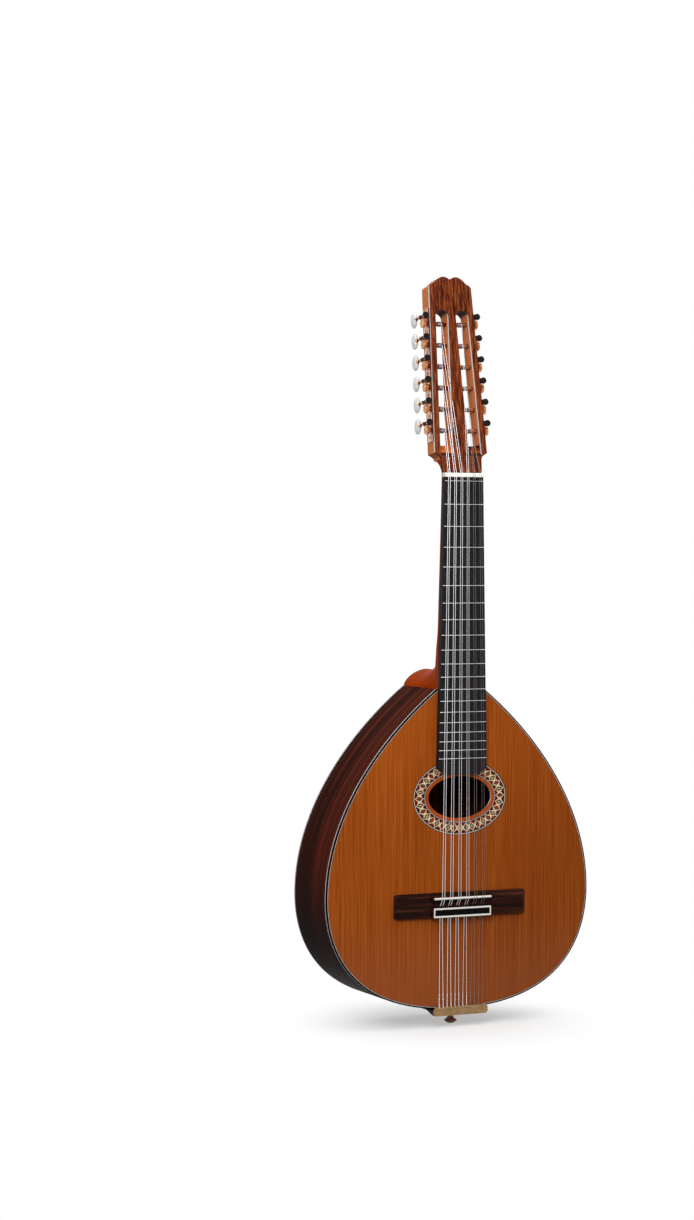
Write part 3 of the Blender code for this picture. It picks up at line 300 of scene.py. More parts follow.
def make_cedar(
    name, tones, turn=(0, 0, 0), across=(1, 1, 0.008), shine=0.06, painted_shade_right=0.0, below=None, sides=None
):
    """Straight-grained cedar under thin varnish, with optional painted shade to the right and low down,
    painted light on faces that look sideways and painted shade on faces that look down.
    """
    dark, middle, light = tones
    finish = Finish(name)
    where = finish.place(across, turn)
    lines = finish.noise(where, 0.8, 2.0)
    fibres = finish.noise(where, 3.0, 4.0)
    bands = finish.noise(where, 0.12, 2.0)
    patches = finish.noise(finish.place((0.012, 0.012, 0.005), turn), 1.0, 2.0)
    mixed = lines * 0.46 + fibres * 0.44 + bands * 0.1
    colour = finish.ramp(mixed, (0.36, dark), (0.5, middle), (0.64, light))
    colour = finish.blend(finish.step(patches, 0.3, 0.7) * 0.15, colour, dark)
    # painted shade: the board darkens toward the right and toward the bottom, where the lamps' light falls
    # off; near the tail a dull pinkish brown is mixed in
    if painted_shade_right:
        right = finish.step(finish.axis(0), *BOARD_LEFT_TO_RIGHT)
        lower = finish.step(finish.axis(2), *BOARD_UPPER_TO_LOWER)
        lowest = finish.step(finish.axis(2), *BOARD_LOWEST)
        colour = finish.blend(right * painted_shade_right, colour, (190, 178, 160), "MULTIPLY")
        colour = finish.blend(lower, colour, (234, 236, 238), "MULTIPLY")
        colour = finish.blend(lowest * 0.3, colour, (158, 92, 66))
    # painted light: faces that look sideways are mixed toward a lighter tone, standing for walls that catch
    # the lamps
    if sides:
        sideways = finish.maths("ABSOLUTE", finish.facing(0))
        colour = finish.blend(finish.step(sideways, 0.6, 0.95) * 0.85, colour, sides)
    # painted shade: faces that look down above the slots' start, such as the slots' arches, are darkened
    if below:
        down = finish.step(finish.facing(2), -0.2, -0.8)
        colour = finish.blend(down * finish.step(finish.axis(2), *HEAD_SLOTS_START), colour, below)
    roughness = 0.45 - finish.step(fibres, 0.3, 0.7) * 0.1
    return finish.done(colour, roughness, lines * 0.6 + fibres * 0.4, 0.03, Specular_IOR_Level=shine)


# the soundboard gets painted shade to the right and low down
cedar_top = make_cedar("cedar_top", ((150, 65, 8), (188, 91, 23), (216, 118, 46)), painted_shade_right=0.42)
# the ring's sideways cut faces get a pale painted highlight
cedar_ring = make_cedar(
    "cedar_ring", ((158, 66, 16), (188, 84, 28), (208, 106, 46)), sides=(255, 226, 212)
)
# the head's sideways faces, its sides and the slots' walls, get painted light; its faces that look down in
# the slots get painted shade
cedar_head = make_cedar(
    "cedar_head", ((172, 84, 34), (206, 112, 54), (226, 140, 84)), head_turn, (1, 1, 0.02), 0.02,
    below=(52, 16, 4), sides=(226, 138, 82),
)
cedar_neck = make_cedar(
    "cedar_neck", ((134, 43, 2), (172, 60, 4), (200, 82, 10)), across=(1, 1, 0.02), shine=0.006
)
print("cedar finishes: 4")


# %% [markdown]
# Rosewood is darker and its figure is wilder: brown streaks of uneven width, with short dark pores along
# them. A wavering noise makes the streaks, and a finer one, cut off sharply, makes the pores.

# %% Rosewood
# depths and heights where the sides' painted light and painted shade start and end
SIDE_FRONT = (62, 4)
SIDE_LOWEST = (-440, -560)


def make_rosewood(
    name, tones, stretch, streak_scale, shine, turn=(0, 0, 0), spread=0.14, mirrored_grain=False,
    low_shade=0.0,
):
    """Streaked rosewood under varnish; stretch is small along the grain."""
    dark, middle, light = tones
    finish = Finish(name)
    where = finish.place(stretch, turn)
    if mirrored_grain:
        where = finish.node("ShaderNodeVectorMath", {"operation": "ABSOLUTE"}, [where])
    streaks = finish.noise(where, streak_scale, 4.0, 0.6)
    fine = finish.noise(where, streak_scale * 9)
    pores = finish.step(finish.noise(where, 3.4, 1.0), 0.63, 0.7)
    mixed = streaks * 0.7 + fine * 0.3
    colour = finish.ramp(mixed, (0.5 - spread, dark), (0.5, middle), (0.5 + spread, light))
    colour = finish.blend(pores * 0.7, colour, dark)
    # painted light and painted shade on the sides: lighter toward the soundboard, darker at the lowest part
    # near the tail
    if low_shade:
        colour = finish.blend(finish.step(finish.axis(1), *SIDE_FRONT) * 0.4, colour, light)
        lowest = finish.step(finish.axis(2), *SIDE_LOWEST)
        colour = finish.blend(lowest * low_shade, colour, (26, 20, 20))
    return finish.done(colour, 0.42 + pores * 0.2, 1 - pores, 0.03, Specular_IOR_Level=shine)


side_rosewood = make_rosewood(
    "side_rosewood", ((26, 10, 7), (58, 22, 14), (102, 41, 24)), (0.02, 1, 0.02), 0.1, 0.004, low_shade=0.85
)
back_rosewood = make_rosewood(
    "back_rosewood", ((30, 13, 9), (64, 28, 18), (108, 50, 30)), (1, 1, 0.02), 0.12, 0.04, mirrored_grain=True
)
head_rosewood = make_rosewood(
    "head_rosewood", ((58, 20, 8), (116, 50, 22), (166, 86, 44)), (1, 1, 0.08), 0.6, 0.05, head_turn, 0.1
)
bridge_rosewood = make_rosewood(
    "bridge_rosewood", ((20, 10, 7), (44, 20, 14), (84, 44, 30)), (0.03, 1, 1), 0.22, 0.04
)
pin_rosewood = make_rosewood(
    "pin_rosewood", ((140, 66, 54), (216, 138, 118), (246, 186, 168)), (1, 1, 0.1), 0.4, 0.5
)
print("rosewood finishes: 5")


# %% [markdown]
# The other woods are plainer. The fingerboard is almost black with faint brown fibres, worn a little
# shinier. The lines of the binding and rosette are thin dyed veneers, and the blocks inside are spruce.
# The white line in the head gets painted shade, a dark brown, everywhere except on its long sides above the
# shoulder: on the crest, the slots' arches and the ramps.

# %% Dark, dyed and bare woods
def make_veneer(
    name, colour, darker, roughness=0.4, shine=0.06, stretch=(1, 1, 0.1), scale=1.2, painted_shade_colour=None, start_z=0
):
    """Plain dyed wood with faint fibres; given a shade colour, it is painted dark as painted shade except on
    faces looking sideways above a height.
    """
    finish = Finish(name)
    fibres = finish.noise(finish.place(stretch), scale, 4.0)
    tone = finish.blend(finish.step(fibres, 0.35, 0.65), darker, colour)
    if painted_shade_colour:
        sideways = finish.step(finish.maths("ABSOLUTE", finish.facing(0)), 0.8, 0.95)
        tone = finish.blend(sideways * finish.step(finish.axis(2), start_z - 4, start_z), painted_shade_colour, tone)
    return finish.done(tone, roughness + fibres * 0.12, fibres, 0.02, Specular_IOR_Level=shine)


ebony = make_veneer("ebony", (46, 44, 47), (27, 25, 27), 0.42, 0.05, (1, 1, 0.03), 1.6)
spruce = make_veneer("spruce", (222, 188, 136), (190, 150, 98), 0.6, 0.2, (1, 1, 0.03), 0.8)
black_line = make_veneer("black_line", (16, 12, 12), (8, 6, 6), shine=0.03)
INLAY = {
    "k": black_line,
    "w": make_veneer("white_line", (252, 249, 246), (226, 221, 218)),
    "g": make_veneer("green_line", (78, 112, 100), (48, 84, 76)),
    "c": make_veneer("cream_tile", (255, 238, 198), (252, 214, 160)),
    "r": make_veneer("red_tile", (190, 48, 28), (146, 30, 18)),
}
print("line and tile finishes:", len(INLAY))


# %% [markdown]
# Metals take their look from how they were worked. The tailpiece is brushed across, the plates of the
# machines have fine ridges along them with painted highlights and painted shade, and posts and gears are
# polished. Bone is white with a faint warm cloud, and the buttons imitate mother of pearl with bright and
# grey clouds.

# %% Metals, bone and pearl
def make_metal(
    name, colour, worn, roughness, stretch=(1, 1, 1), bump=0.01, marks_shade=0.0, painted_shade_from=None
):
    """Metal with marks drawn along one way, tarnished in places, with painted shade in black behind a given
    depth; on gilt the strong patches are painted reflection.
    """
    finish = Finish(name)
    marks = finish.noise(finish.place(stretch), 2.0)
    tarnish_and_reflection = finish.noise(finish.place((0.15, 0.15, 0.15)), 1.0, 4.0)
    shade = finish.step(tarnish_and_reflection, 0.45, 0.75) * 0.7
    if marks_shade:
        shade = finish.maths("MAXIMUM", shade, finish.step(marks, 0.48, 0.6) * marks_shade)
    tone = finish.blend(shade, colour, worn)
    # painted shade: behind this depth the metal is painted near black
    if painted_shade_from is not None:
        tone = finish.blend(finish.step(finish.axis(1), painted_shade_from, painted_shade_from + 1), tone, (22, 18, 20))
    return finish.done(tone, roughness + marks * 0.18, marks, bump, Metallic=1.0)


# the tailpiece's cheeks, behind its face, get black painted shade
brushed_brass = make_metal(
    "brushed_brass", (156, 126, 88), (112, 88, 60), 0.42, (0.03, 0.5, 0.5), 0.02, 0.5, painted_shade_from=-3.6
)
# painted reflection: the gilt's strong bright and dark patches stand for the highlights and dark reflections
# of polished brass
gilt = make_metal("gilt", (250, 184, 130), (60, 24, 14), 0.1, (0.9, 0.9, 0.9), marks_shade=0.95)
post_gilt = make_metal("post_gilt", (146, 82, 52), (92, 46, 28), 0.12)
dark_steel = make_metal("dark_steel", (70, 58, 54), (36, 30, 30), 0.3)
fret_metal = make_metal("fret_metal", (250, 250, 250), (226, 224, 222), 0.2, bump=0.004)
silver_wire = make_metal("silver_wire", (150, 148, 156), (64, 60, 64), 0.28, bump=0.004)
plain_wire = make_metal("plain_wire", (140, 132, 126), (104, 96, 92), 0.2, bump=0.002)
GROOVE_PITCH = 3.3


def make_plate_brass():
    """Brass with fine ridges along the plate: a painted highlight on each ridge and painted shade in each
    groove.
    """
    finish = Finish("plate_brass")
    across = finish.axis(1, finish.place(turn=head_turn))
    drift = finish.noise(finish.place((0.5, 0.5, 0.02), head_turn), 1.0, 2.0)
    # painted light: each ridge is painted bright and each groove dark, over a shallow bump
    ridges = finish.maths("SINE", (across + drift * 1.6) * (2 * pi / GROOVE_PITCH)) * 0.5 + 0.5
    colour = finish.ramp(ridges, (0.14, (108, 50, 34)), (0.5, (202, 138, 106)), (0.84, (255, 232, 218)))
    return finish.done(colour, 0.34 - ridges * 0.14, ridges, 0.15, Metallic=1.0)


def make_bone():
    """White bone, polished."""
    finish = Finish("bone")
    cloud = finish.noise(finish.place((1, 1, 0.2)), 0.5, 4.0)
    colour = finish.blend(finish.step(cloud, 0.4, 0.7), (255, 254, 246), (244, 240, 226))
    return finish.done(colour, 0.3 + cloud * 0.1, cloud, 0.01, Coat_Weight=0.2)


def make_pearl():
    """Imitation mother of pearl: clouds with soft edges, glossy."""
    finish = Finish("pearl")
    cloud = finish.noise(finish.place(), 0.22, 3.0, 2.2)
    colour = finish.ramp(
        cloud, (0.35, (218, 214, 212)), (0.46, (254, 253, 251)), (0.56, (236, 234, 240)),
        (0.66, (254, 253, 250)),
    )
    return finish.done(colour, 0.2 + cloud * 0.1, cloud, 0.02, Coat_Weight=0.6)


def make_knob_black():
    """Black moulded knob with a slight orange peel."""
    finish = Finish("knob_black")
    peel = finish.noise(finish.place(), 2.0, 2.0)
    colour = finish.blend(peel, (14, 12, 12), (30, 26, 26))
    return finish.done(colour, 0.26 + peel * 0.1, peel, 0.01, Specular_IOR_Level=0.12)


plate_brass = make_plate_brass()
bone = make_bone()
pearl = make_pearl()
knob_black = make_knob_black()
print("metal, bone and pearl finishes: 11")


# %% [markdown]
# All the pieces are meshes made by a few helpers: a plate cut from an outline, a loft through rings and a
# turned bar. Many pieces get rounded edges from a Bevel modifier, because no real edge is perfectly sharp.

# %% Helpers for pieces
def soften(obj, sharp_from=30, bevel=0.0, segments=2, bevel_from=30):
    """Shade smoothly across shallow angles, and round steep edges by a bevel in millimetres."""
    obj.data.shade_smooth()
    obj.data.set_sharp_from_angle(angle=radians(sharp_from))
    if bevel:
        rounding = obj.modifiers.new("rounding", "BEVEL")
        rounding.width, rounding.segments = bevel * MM, segments
        rounding.limit_method, rounding.angle_limit = "ANGLE", radians(bevel_from)
        rounding.harden_normals = True


def solid(name, bm):
    """An object from a bmesh."""
    bmesh.ops.recalc_face_normals(bm, faces=bm.faces)
    mesh = bpy.data.meshes.new(name)
    bm.to_mesh(mesh)
    bm.free()
    return add_object(name, mesh)


def piece(name, bm, finishes, slot, body="laud", covers=(), at=None, bevel=0.0, smooth=35, segments=2):
    """Turn a bmesh into a named piece that rides on a body and stands for the CAD nodes it covers."""
    if at:
        bm.transform(at)
    obj = solid(name, bm)
    for finish in finishes if isinstance(finishes, list) else [finishes]:
        obj.data.materials.append(finish)
    soften(obj, smooth, bevel, segments)
    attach(obj, body)
    if covers:
        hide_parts(*covers)
    return obj


def carved(obj, solids, operation="DIFFERENCE"):
    """Cut solids out of a piece, or weld them on."""
    tools = [solid("tool", bm) for bm in solids]
    for tool in tools:
        modifier = obj.modifiers.new("carve", "BOOLEAN")
        modifier.operation, modifier.solver = operation, "EXACT"
        modifier.object = tool
    shaped = bpy.data.meshes.new_from_object(obj.evaluated_get(bpy.context.evaluated_depsgraph_get()))
    obj.modifiers.clear()
    old = obj.data
    obj.data = shaped
    shaped.name = obj.name
    bpy.data.meshes.remove(old)
    for tool in tools:
        bpy.data.objects.remove(tool)


def arc(x, y, radius, other, start, end, steps):
    """Points on a round or oval arc from one angle to another, in degrees."""
    angles = [radians(start + (end - start) * step / steps) for step in range(steps + 1)]
    return [(x + radius * cos(angle), y + other * sin(angle)) for angle in angles]


def circle(count, radius, other=None, x=0.0, y=0.0):
    """Points on a circle, or on an oval where the other radius is given."""
    return arc(x, y, radius, other or radius, 0, 360, count)[:-1]


def join_rings(bm, ring, other, finishes=(0,)):
    """Four-sided faces between two closed rings, in one finish or in several by turns."""
    count = len(ring)
    for index in range(count):
        after = (index + 1) % count
        face = bm.faces.new((ring[index], ring[after], other[after], other[index]))
        face.material_index = finishes[index % len(finishes)]


def loft(rings, bm=None):
    """A solid through rings of points, in a bmesh of its own unless one is given."""
    bm = bmesh.new() if bm is None else bm
    loops = [[bm.verts.new(point) for point in ring] for ring in rings]
    for ring, other in zip(loops, loops[1:]):
        join_rings(bm, ring, other)
    bm.faces.new(loops[0])
    bm.faces.new(reversed(loops[-1]))
    return bm


def plate(outlines, low, high, place, bm=None):
    """A plate between two depths, cut along the first outline, with the other outlines as holes."""
    bm = bmesh.new() if bm is None else bm
    flat = [[Vector((a, b, 0)) for a, b in outline] for outline in outlines]
    points = [point for outline in flat for point in outline]
    layers = [[bm.verts.new(place(p.x, p.y, depth)) for p in points] for depth in (low, high)]
    for triangle in tessellate_polygon(flat):
        for layer in layers:
            bm.faces.new([layer[index] for index in triangle])
    start = 0
    for outline in flat:
        end = start + len(outline)
        join_rings(bm, layers[0][start:end], layers[1][start:end])
        start = end
    return bm


def from_front(x, z, y):
    """An outline drawn as it is seen from the front, given depth along Y."""
    return (x, y, z)


def from_side(y, z, x):
    """A profile drawn as it is seen from the side, given depth along X."""
    return (x, y, z)


def from_end(x, y, z):
    """A section drawn as it is seen along the strings, given depth along Z."""
    return (x, y, z)


def turned(stations, sides, place):
    """A turned solid: stations are (along, radius) or (along, radius, other radius)."""
    return loft([[place(a, b, along) for a, b in circle(sides, *radii)] for along, *radii in stations])


def tube(bm, points, radius, sides=10):
    """A round wire along points, with its rings kept square to the way."""
    ways = [(after - before).normalized() for before, after in zip(points, points[1:])]
    across = ways[0].orthogonal().normalized()
    rings = []
    for index, point in enumerate(points):
        way = (ways[max(index - 1, 0)] + ways[min(index, len(ways) - 1)]).normalized()
        across = (across - way * across.dot(way)).normalized()
        other = way.cross(across)
        rings.append([point + across * a + other * b for a, b in circle(sides, radius)])
    loft(rings, bm)


def between(start, end, share):
    """A value part of the way from one to another."""
    return start + (end - start) * share


def smooth_line(points, steps):
    """A smooth line through points, each a tuple of numbers."""
    line = []
    for index in range(len(points) - 1):
        before, after = points[max(index - 1, 0)], points[min(index + 2, len(points) - 1)]
        for step in range(steps):
            t = step / steps
            line.append(tuple(
                0.5 * (2 * p1 + (p2 - p0) * t + (2 * p0 - 5 * p1 + 4 * p2 - p3) * t * t
                       + (3 * p1 - p0 - 3 * p2 + p3) * t ** 3)
                for p0, p1, p2, p3 in zip(before, points[index], points[index + 1], after)
            ))
    return line + [tuple(points[-1])]


# %% [markdown]
# The body's outline is a pair of Bezier curves on each side, the same as in the solids but with many more
# points. Everything that follows the outline, such as the sides and the bindings, is made from it by
# moving it inward.

# %% The body's outline
SCALE_LENGTH = 500.0 * MM
JOINT_Z = -SCALE_LENGTH / 2
TAIL_Z = JOINT_Z - 386.0 * MM
WIDEST_Z = TAIL_Z + 139.0 * MM
BODY_WIDTH = 353.0 * MM
BODY_DEPTH = 93.0 * MM
JOINT_WIDTH = 64.0 * MM
TOP_THICKNESS = 2.5 * MM
BACK_THICKNESS = 2.6 * MM
BACK_FRONT = BODY_DEPTH - BACK_THICKNESS
SHOULDER_ANGLE = radians(52)
SHOULDER_PULL, WAIST_PULL, BELLY_PULL, TAIL_PULL = 110, 90, 54, 151  # in millimetres
OUTLINE_STEPS = 72


def body_half():
    """The right half of the body, from the neck corner to the tail."""
    corner, widest = Vector((JOINT_WIDTH / 2, JOINT_Z)), Vector((BODY_WIDTH / 2, WIDEST_Z))
    tail, side = Vector((0, TAIL_Z)), Vector((0, 1))
    way = Vector((sin(SHOULDER_ANGLE), -cos(SHOULDER_ANGLE)))
    upper = interpolate_bezier(
        corner, corner + way * SHOULDER_PULL * MM, widest + side * WAIST_PULL * MM, widest, OUTLINE_STEPS + 1
    )
    lower = interpolate_bezier(
        widest, widest - side * BELLY_PULL * MM, tail + Vector((TAIL_PULL * MM, 0)), tail, OUTLINE_STEPS + 1
    )
    return [tuple(point) for point in upper + lower[1:]]


def mirrored(half):
    """A right half closed with its mirror image."""
    return list(half) + [(-x, z) for x, z in reversed(half) if x > 1e-6]


def shifted(before, here, after, distance):
    """A corner moved inward from both its edges."""
    normals = []
    for start, end in ((before, here), (here, after)):
        way = (Vector(end) - Vector(start)).normalized()
        normals.append(Vector((way.y, -way.x)))
    mitre = (normals[0] + normals[1]) / (1 + normals[0].dot(normals[1]))
    return tuple(Vector(here) + mitre * distance)


def inset(outline, distance):
    """A closed outline moved inward."""
    neighbours = zip(outline[-1:] + outline[:-1], outline, outline[1:] + outline[:1])
    return [shifted(before, here, after, distance) for before, here, after in neighbours]


outline = mirrored(body_half())
print("outline points:", len(outline))

# %% [markdown]
# The soundboard is a flat plate with an oval hole. The rosette is let into it flush, so the visible wood is
# a narrow oval ring inside the rosette and the wide plate outside it, and both are cut here as plates with
# a hole.

# %% The soundboard
HOLE_Z = JOINT_Z - 130.4 * MM
HOLE_WIDTH = 85.0 * MM
HOLE_HEIGHT = 50.8 * MM
ROSETTE_START = 4.0 * MM
ROSETTE_END = ROSETTE_START + 16.3 * MM
CHANNEL_DEPTH = 1.0 * MM
BINDING_WIDTH = 4.6 * MM
FRONT_BINDING_WIDTH = 2.5 * MM
OVAL_STEPS = 240


def oval(grow):
    """The soundhole's outline widened all round."""
    return circle(OVAL_STEPS, HOLE_WIDTH / 2 + grow, HOLE_HEIGHT / 2 + grow, y=HOLE_Z)


board_edge = inset(outline, FRONT_BINDING_WIDTH)
board = plate([board_edge, oval(ROSETTE_END)], 0, TOP_THICKNESS, from_front)
piece("soundboard", board, cedar_top, "cedar_top", covers=["soundboard"])
ring = plate([oval(ROSETTE_START), oval(0)], 0, TOP_THICKNESS, from_front)
piece("soundboard_ring", ring, cedar_ring, "cedar_top", bevel=0.25)
bed = plate([oval(ROSETTE_END), oval(ROSETTE_START)], CHANNEL_DEPTH, TOP_THICKNESS, from_front)
piece("rosette_bed", bed, cedar_top, "cedar_top")
print("soundboard: {:.0f} mm wide".format((BODY_WIDTH - 2 * FRONT_BINDING_WIDTH) / MM))

# %% [markdown]
# A rosette's mosaic is sawn from a block of coloured sticks, so it is a grid of small square tiles that
# repeats round the ring. The motif is written as rows of letters, one letter to a tile, and thin dyed
# lines run round both edges. The front of one ring is divided into these strips and tiles.

# %% The rosette
MOTIF_HALF = (
    "ckkrrrkkckkrkrkk",
    "kcrkkkrckcrkkkrc",
    "rkcckcckgkcckcck",
    "rrkccckrcgkccckg",
)
MOTIF = MOTIF_HALF + MOTIF_HALF[::-1]
MOTIF_REPEATS = 18
INNER_LINES = (("k", 0.6), ("w", 0.5), ("k", 0.6))
OUTER_LINES = (("k", 0.6), ("w", 0.7), ("k", 0.9))
FINE_STEPS = 4000


def even_angles(count, half_width, half_height):
    """The angles that divide an oval into equal lengths."""
    lengths = [0.0]
    for step in range(FINE_STEPS):
        angle = 2 * pi * (step + 0.5) / FINE_STEPS
        lengths.append(lengths[-1] + sqrt((half_width * sin(angle)) ** 2 + (half_height * cos(angle)) ** 2))
    angles, spot = [], 0
    for step in range(count):
        wanted = lengths[-1] * step / count
        while lengths[spot + 1] < wanted:
            spot += 1
        share = (wanted - lengths[spot]) / (lengths[spot + 1] - lengths[spot])
        angles.append(2 * pi * (spot + share) / FINE_STEPS)
    return angles


def rosette_strips():
    """The inner edge of each strip with its letters, and the outer edge of the last."""
    lines_width = sum(width for _, width in INNER_LINES + OUTER_LINES)
    tile = ((ROSETTE_END - ROSETTE_START) / MM - lines_width) / len(MOTIF)
    edge, strips = ROSETTE_START, []
    for letters, width in (*INNER_LINES, *((row, tile) for row in MOTIF), *OUTER_LINES):
        strips.append((edge, letters))
        edge += width * MM
    return strips, edge


def make_rosette():
    """One closed ring whose front is divided into coloured strips and tiles."""
    middle = (ROSETTE_START + ROSETTE_END) / 2
    count = len(MOTIF[0]) * MOTIF_REPEATS
    angles = even_angles(count, HOLE_WIDTH / 2 + middle, HOLE_HEIGHT / 2 + middle)
    order = sorted(INLAY)
    strips, outer = rosette_strips()
    bm = bmesh.new()

    def row(grow, y):
        half_width, half_height = HOLE_WIDTH / 2 + grow, HOLE_HEIGHT / 2 + grow
        return [bm.verts.new((half_width * cos(a), y, HOLE_Z + half_height * sin(a))) for a in angles]

    front = [row(edge, 0) for edge, _ in strips] + [row(outer, 0)]
    back = [row(ROSETTE_START, CHANNEL_DEPTH), row(outer, CHANNEL_DEPTH)]
    for (_, letters), near, far in zip(strips, front, front[1:]):
        join_rings(bm, near, far, [order.index(letter) for letter in letters])
    for first, second in ((front[0], back[0]), (back[0], back[1]), (back[1], front[-1])):
        join_rings(bm, first, second, [order.index("k")])
    return piece("rosette", bm, [INLAY[letter] for letter in order], "mosaic", covers=["rosette"])


rosette = make_rosette()
print("rosette faces:", len(rosette.data.polygons))

# %% [markdown]
# A binding is a hard strip glued into a rebate round the edge, with thin light and dark lines beside it.
# Here each binding is one closed frame round the body. Its section is a list of points, and the wood of
# each stretch between two points is given with it.

# %% The bindings
FRONT_SECTION = (
    (0.0, 2.5, "k"), (0.0, 0.5, "k"), (0.15, 0.15, "k"), (0.5, 0.0, "k"), (1.8, 0.0, "w"), (2.2, 0.0, "k"),
    (2.5, 0.0, "k"), (2.5, 2.5, "k"),
)
SIDE_LINE_SECTION = ((-0.03, 0.0, "w"), (-0.03, 1.25, "w"), (0.6, 1.25, "w"), (0.6, 0.0, "w"))
BACK_SECTION = (
    (0.0, 0.0, "w"), (0.0, 0.8, "k"), (0.0, 2.1, "k"), (0.15, 2.45, "k"), (0.5, 2.6, "k"), (1.8, 2.6, "w"),
    (2.25, 2.6, "k"), (4.6, 2.6, "k"), (4.6, 0.0, "k"),
)


def make_binding(name, section, front, covers=()):
    """A frame round the body; its section's points are millimetres inward and backward."""
    bm = bmesh.new()
    letters = sorted({letter for _, _, letter in section})
    rows = []
    for inward, back, _ in section:
        line = inset(outline, inward * MM) if inward else outline
        rows.append([bm.verts.new((x, front + back * MM, z)) for x, z in line])
    for (_, _, letter), row, other in zip(section, rows, rows[1:] + rows[:1]):
        join_rings(bm, row, other, [letters.index(letter)])
    piece(name, bm, [INLAY[letter] for letter in letters], "binding", covers=covers, smooth=50)


make_binding("front_binding", FRONT_SECTION, 0.0, ["front_binding"])
make_binding("front_side_line", SIDE_LINE_SECTION, TOP_THICKNESS)
make_binding("back_binding", BACK_SECTION, BACK_FRONT, ["back_binding"])
print("binding section points:", len(FRONT_SECTION), len(SIDE_LINE_SECTION), len(BACK_SECTION))

# %% [markdown]
# The sides are thin boards bent over a hot iron. Each is a loft: a thin section with the two linings that
# the soundboard and back are glued to, carried along the outline from the neck to the tail seam.

# %% The sides and the back
SIDE_THICKNESS = 2.2 * MM
LINING_WIDTH = 5.5 * MM
LINING_HEIGHT = 13.0 * MM
LINING_FOOT = 4.0 * MM
TAIL_SEAM = 0.05 * MM


def side_line(distance):
    """The right half outline moved inward, cut at the neck joint and at the tail seam."""
    half = body_half()
    start = Vector(half[0])
    way = (Vector(half[1]) - start).normalized()
    first = start + Vector((way.y, -way.x)) * distance
    first += way * ((JOINT_Z - first.y) / way.y)
    corners = [shifted(*three, distance) for three in zip(half, half[1:], half[2:])]
    return [tuple(first)] + corners + [(TAIL_SEAM, TAIL_Z + distance)]


def make_side(name, hand):
    """One bent side with its linings."""
    front, back = TOP_THICKNESS, BACK_FRONT
    depths = (front, back, back, back - LINING_FOOT, back - LINING_HEIGHT, front + LINING_HEIGHT,
              front + LINING_FOOT, front)
    lines = [side_line(distance) for distance in (0, SIDE_THICKNESS, SIDE_THICKNESS + LINING_WIDTH)]
    rings = []
    for outer, inner, lining in zip(*lines):
        places = (outer, outer, lining, lining, inner, inner, lining, lining)
        rings.append([(hand * x, y, z) for (x, z), y in zip(places, depths)])
    piece(name, loft(rings), side_rosewood, "rosewood", covers=[name])


make_side("side_left", -1)
make_side("side_right", 1)
back_plate = plate([inset(outline, BINDING_WIDTH)], BACK_FRONT, BODY_DEPTH, from_front)
piece("back", back_plate, back_rosewood, "rosewood", covers=["back"])
for name in ("neck_block", "tail_block", "soundboard_bar_upper", "soundboard_bar_lower"):
    for material_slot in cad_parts[name].material_slots:
        material_slot.material = spruce
print("sides, back and inner wood made")

# %% [markdown]
# The neck is a loft through D-shaped sections: from the throat under the head, down the neck and round
# the curve into the heel. The stations are the same as in the solid, and a smooth line through them gives
# many more in between.

# %% The neck
NUT_WIDTH = 52.0 * MM
BOARD_WIDTH_AT_BODY = 61.5 * MM
HEAD_Z = 10.0 * MM
HEAD_THICKNESS = 17.7 * MM
THROAT_LENGTH = 16.0 * MM
THROAT_HALF_WIDTH = 26.8 * MM
THROAT_SECTIONS = ((1.0, 6.0), (0.7, 3.2), (0.3, 2.2))
NECK_DEPTH_AT_NUT = 15.5 * MM
NECK_DEPTH_AT_HEEL = 16.0 * MM
HEEL_HALF_WIDTH = 30.5 * MM
HEEL_RISE = 20.4 * MM
HEEL_FILLET = 50.0 * MM
HEEL_CAP_THICKNESS = 2.6 * MM
NECK_STATIONS = 4
HEEL_TURN_STEPS = 6
NUT_END_ROUNDNESS = 1.9
HEEL_TOP_ROUNDNESS = 2.4
HEEL_FOOT_ROUNDNESS = 1.65
SEAM = 0.1 * MM
SECTION_STEPS = 40


def board_half_width(z):
    """Half the fingerboard's width at a height."""
    return between(NUT_WIDTH / 2, BOARD_WIDTH_AT_BODY / 2, z / JOINT_Z)


def rounded(roundness):
    """Half of a rounded box of half-width and depth one."""
    points = []
    for across, deep in arc(0, 0, 1, 1, 0, 180, SECTION_STEPS):
        reach = abs(across) ** (2 / roundness)
        points.append((reach if across > 0 else -reach, abs(deep) ** (2 / roundness)))
    return points


def in_head(n, t):
    """Y and Z of the tilted head: n behind its front plane, t along it above the nut."""
    return n * cos(HEAD_TILT) + t * sin(HEAD_TILT), HEAD_Z - n * sin(HEAD_TILT) + t * cos(HEAD_TILT)


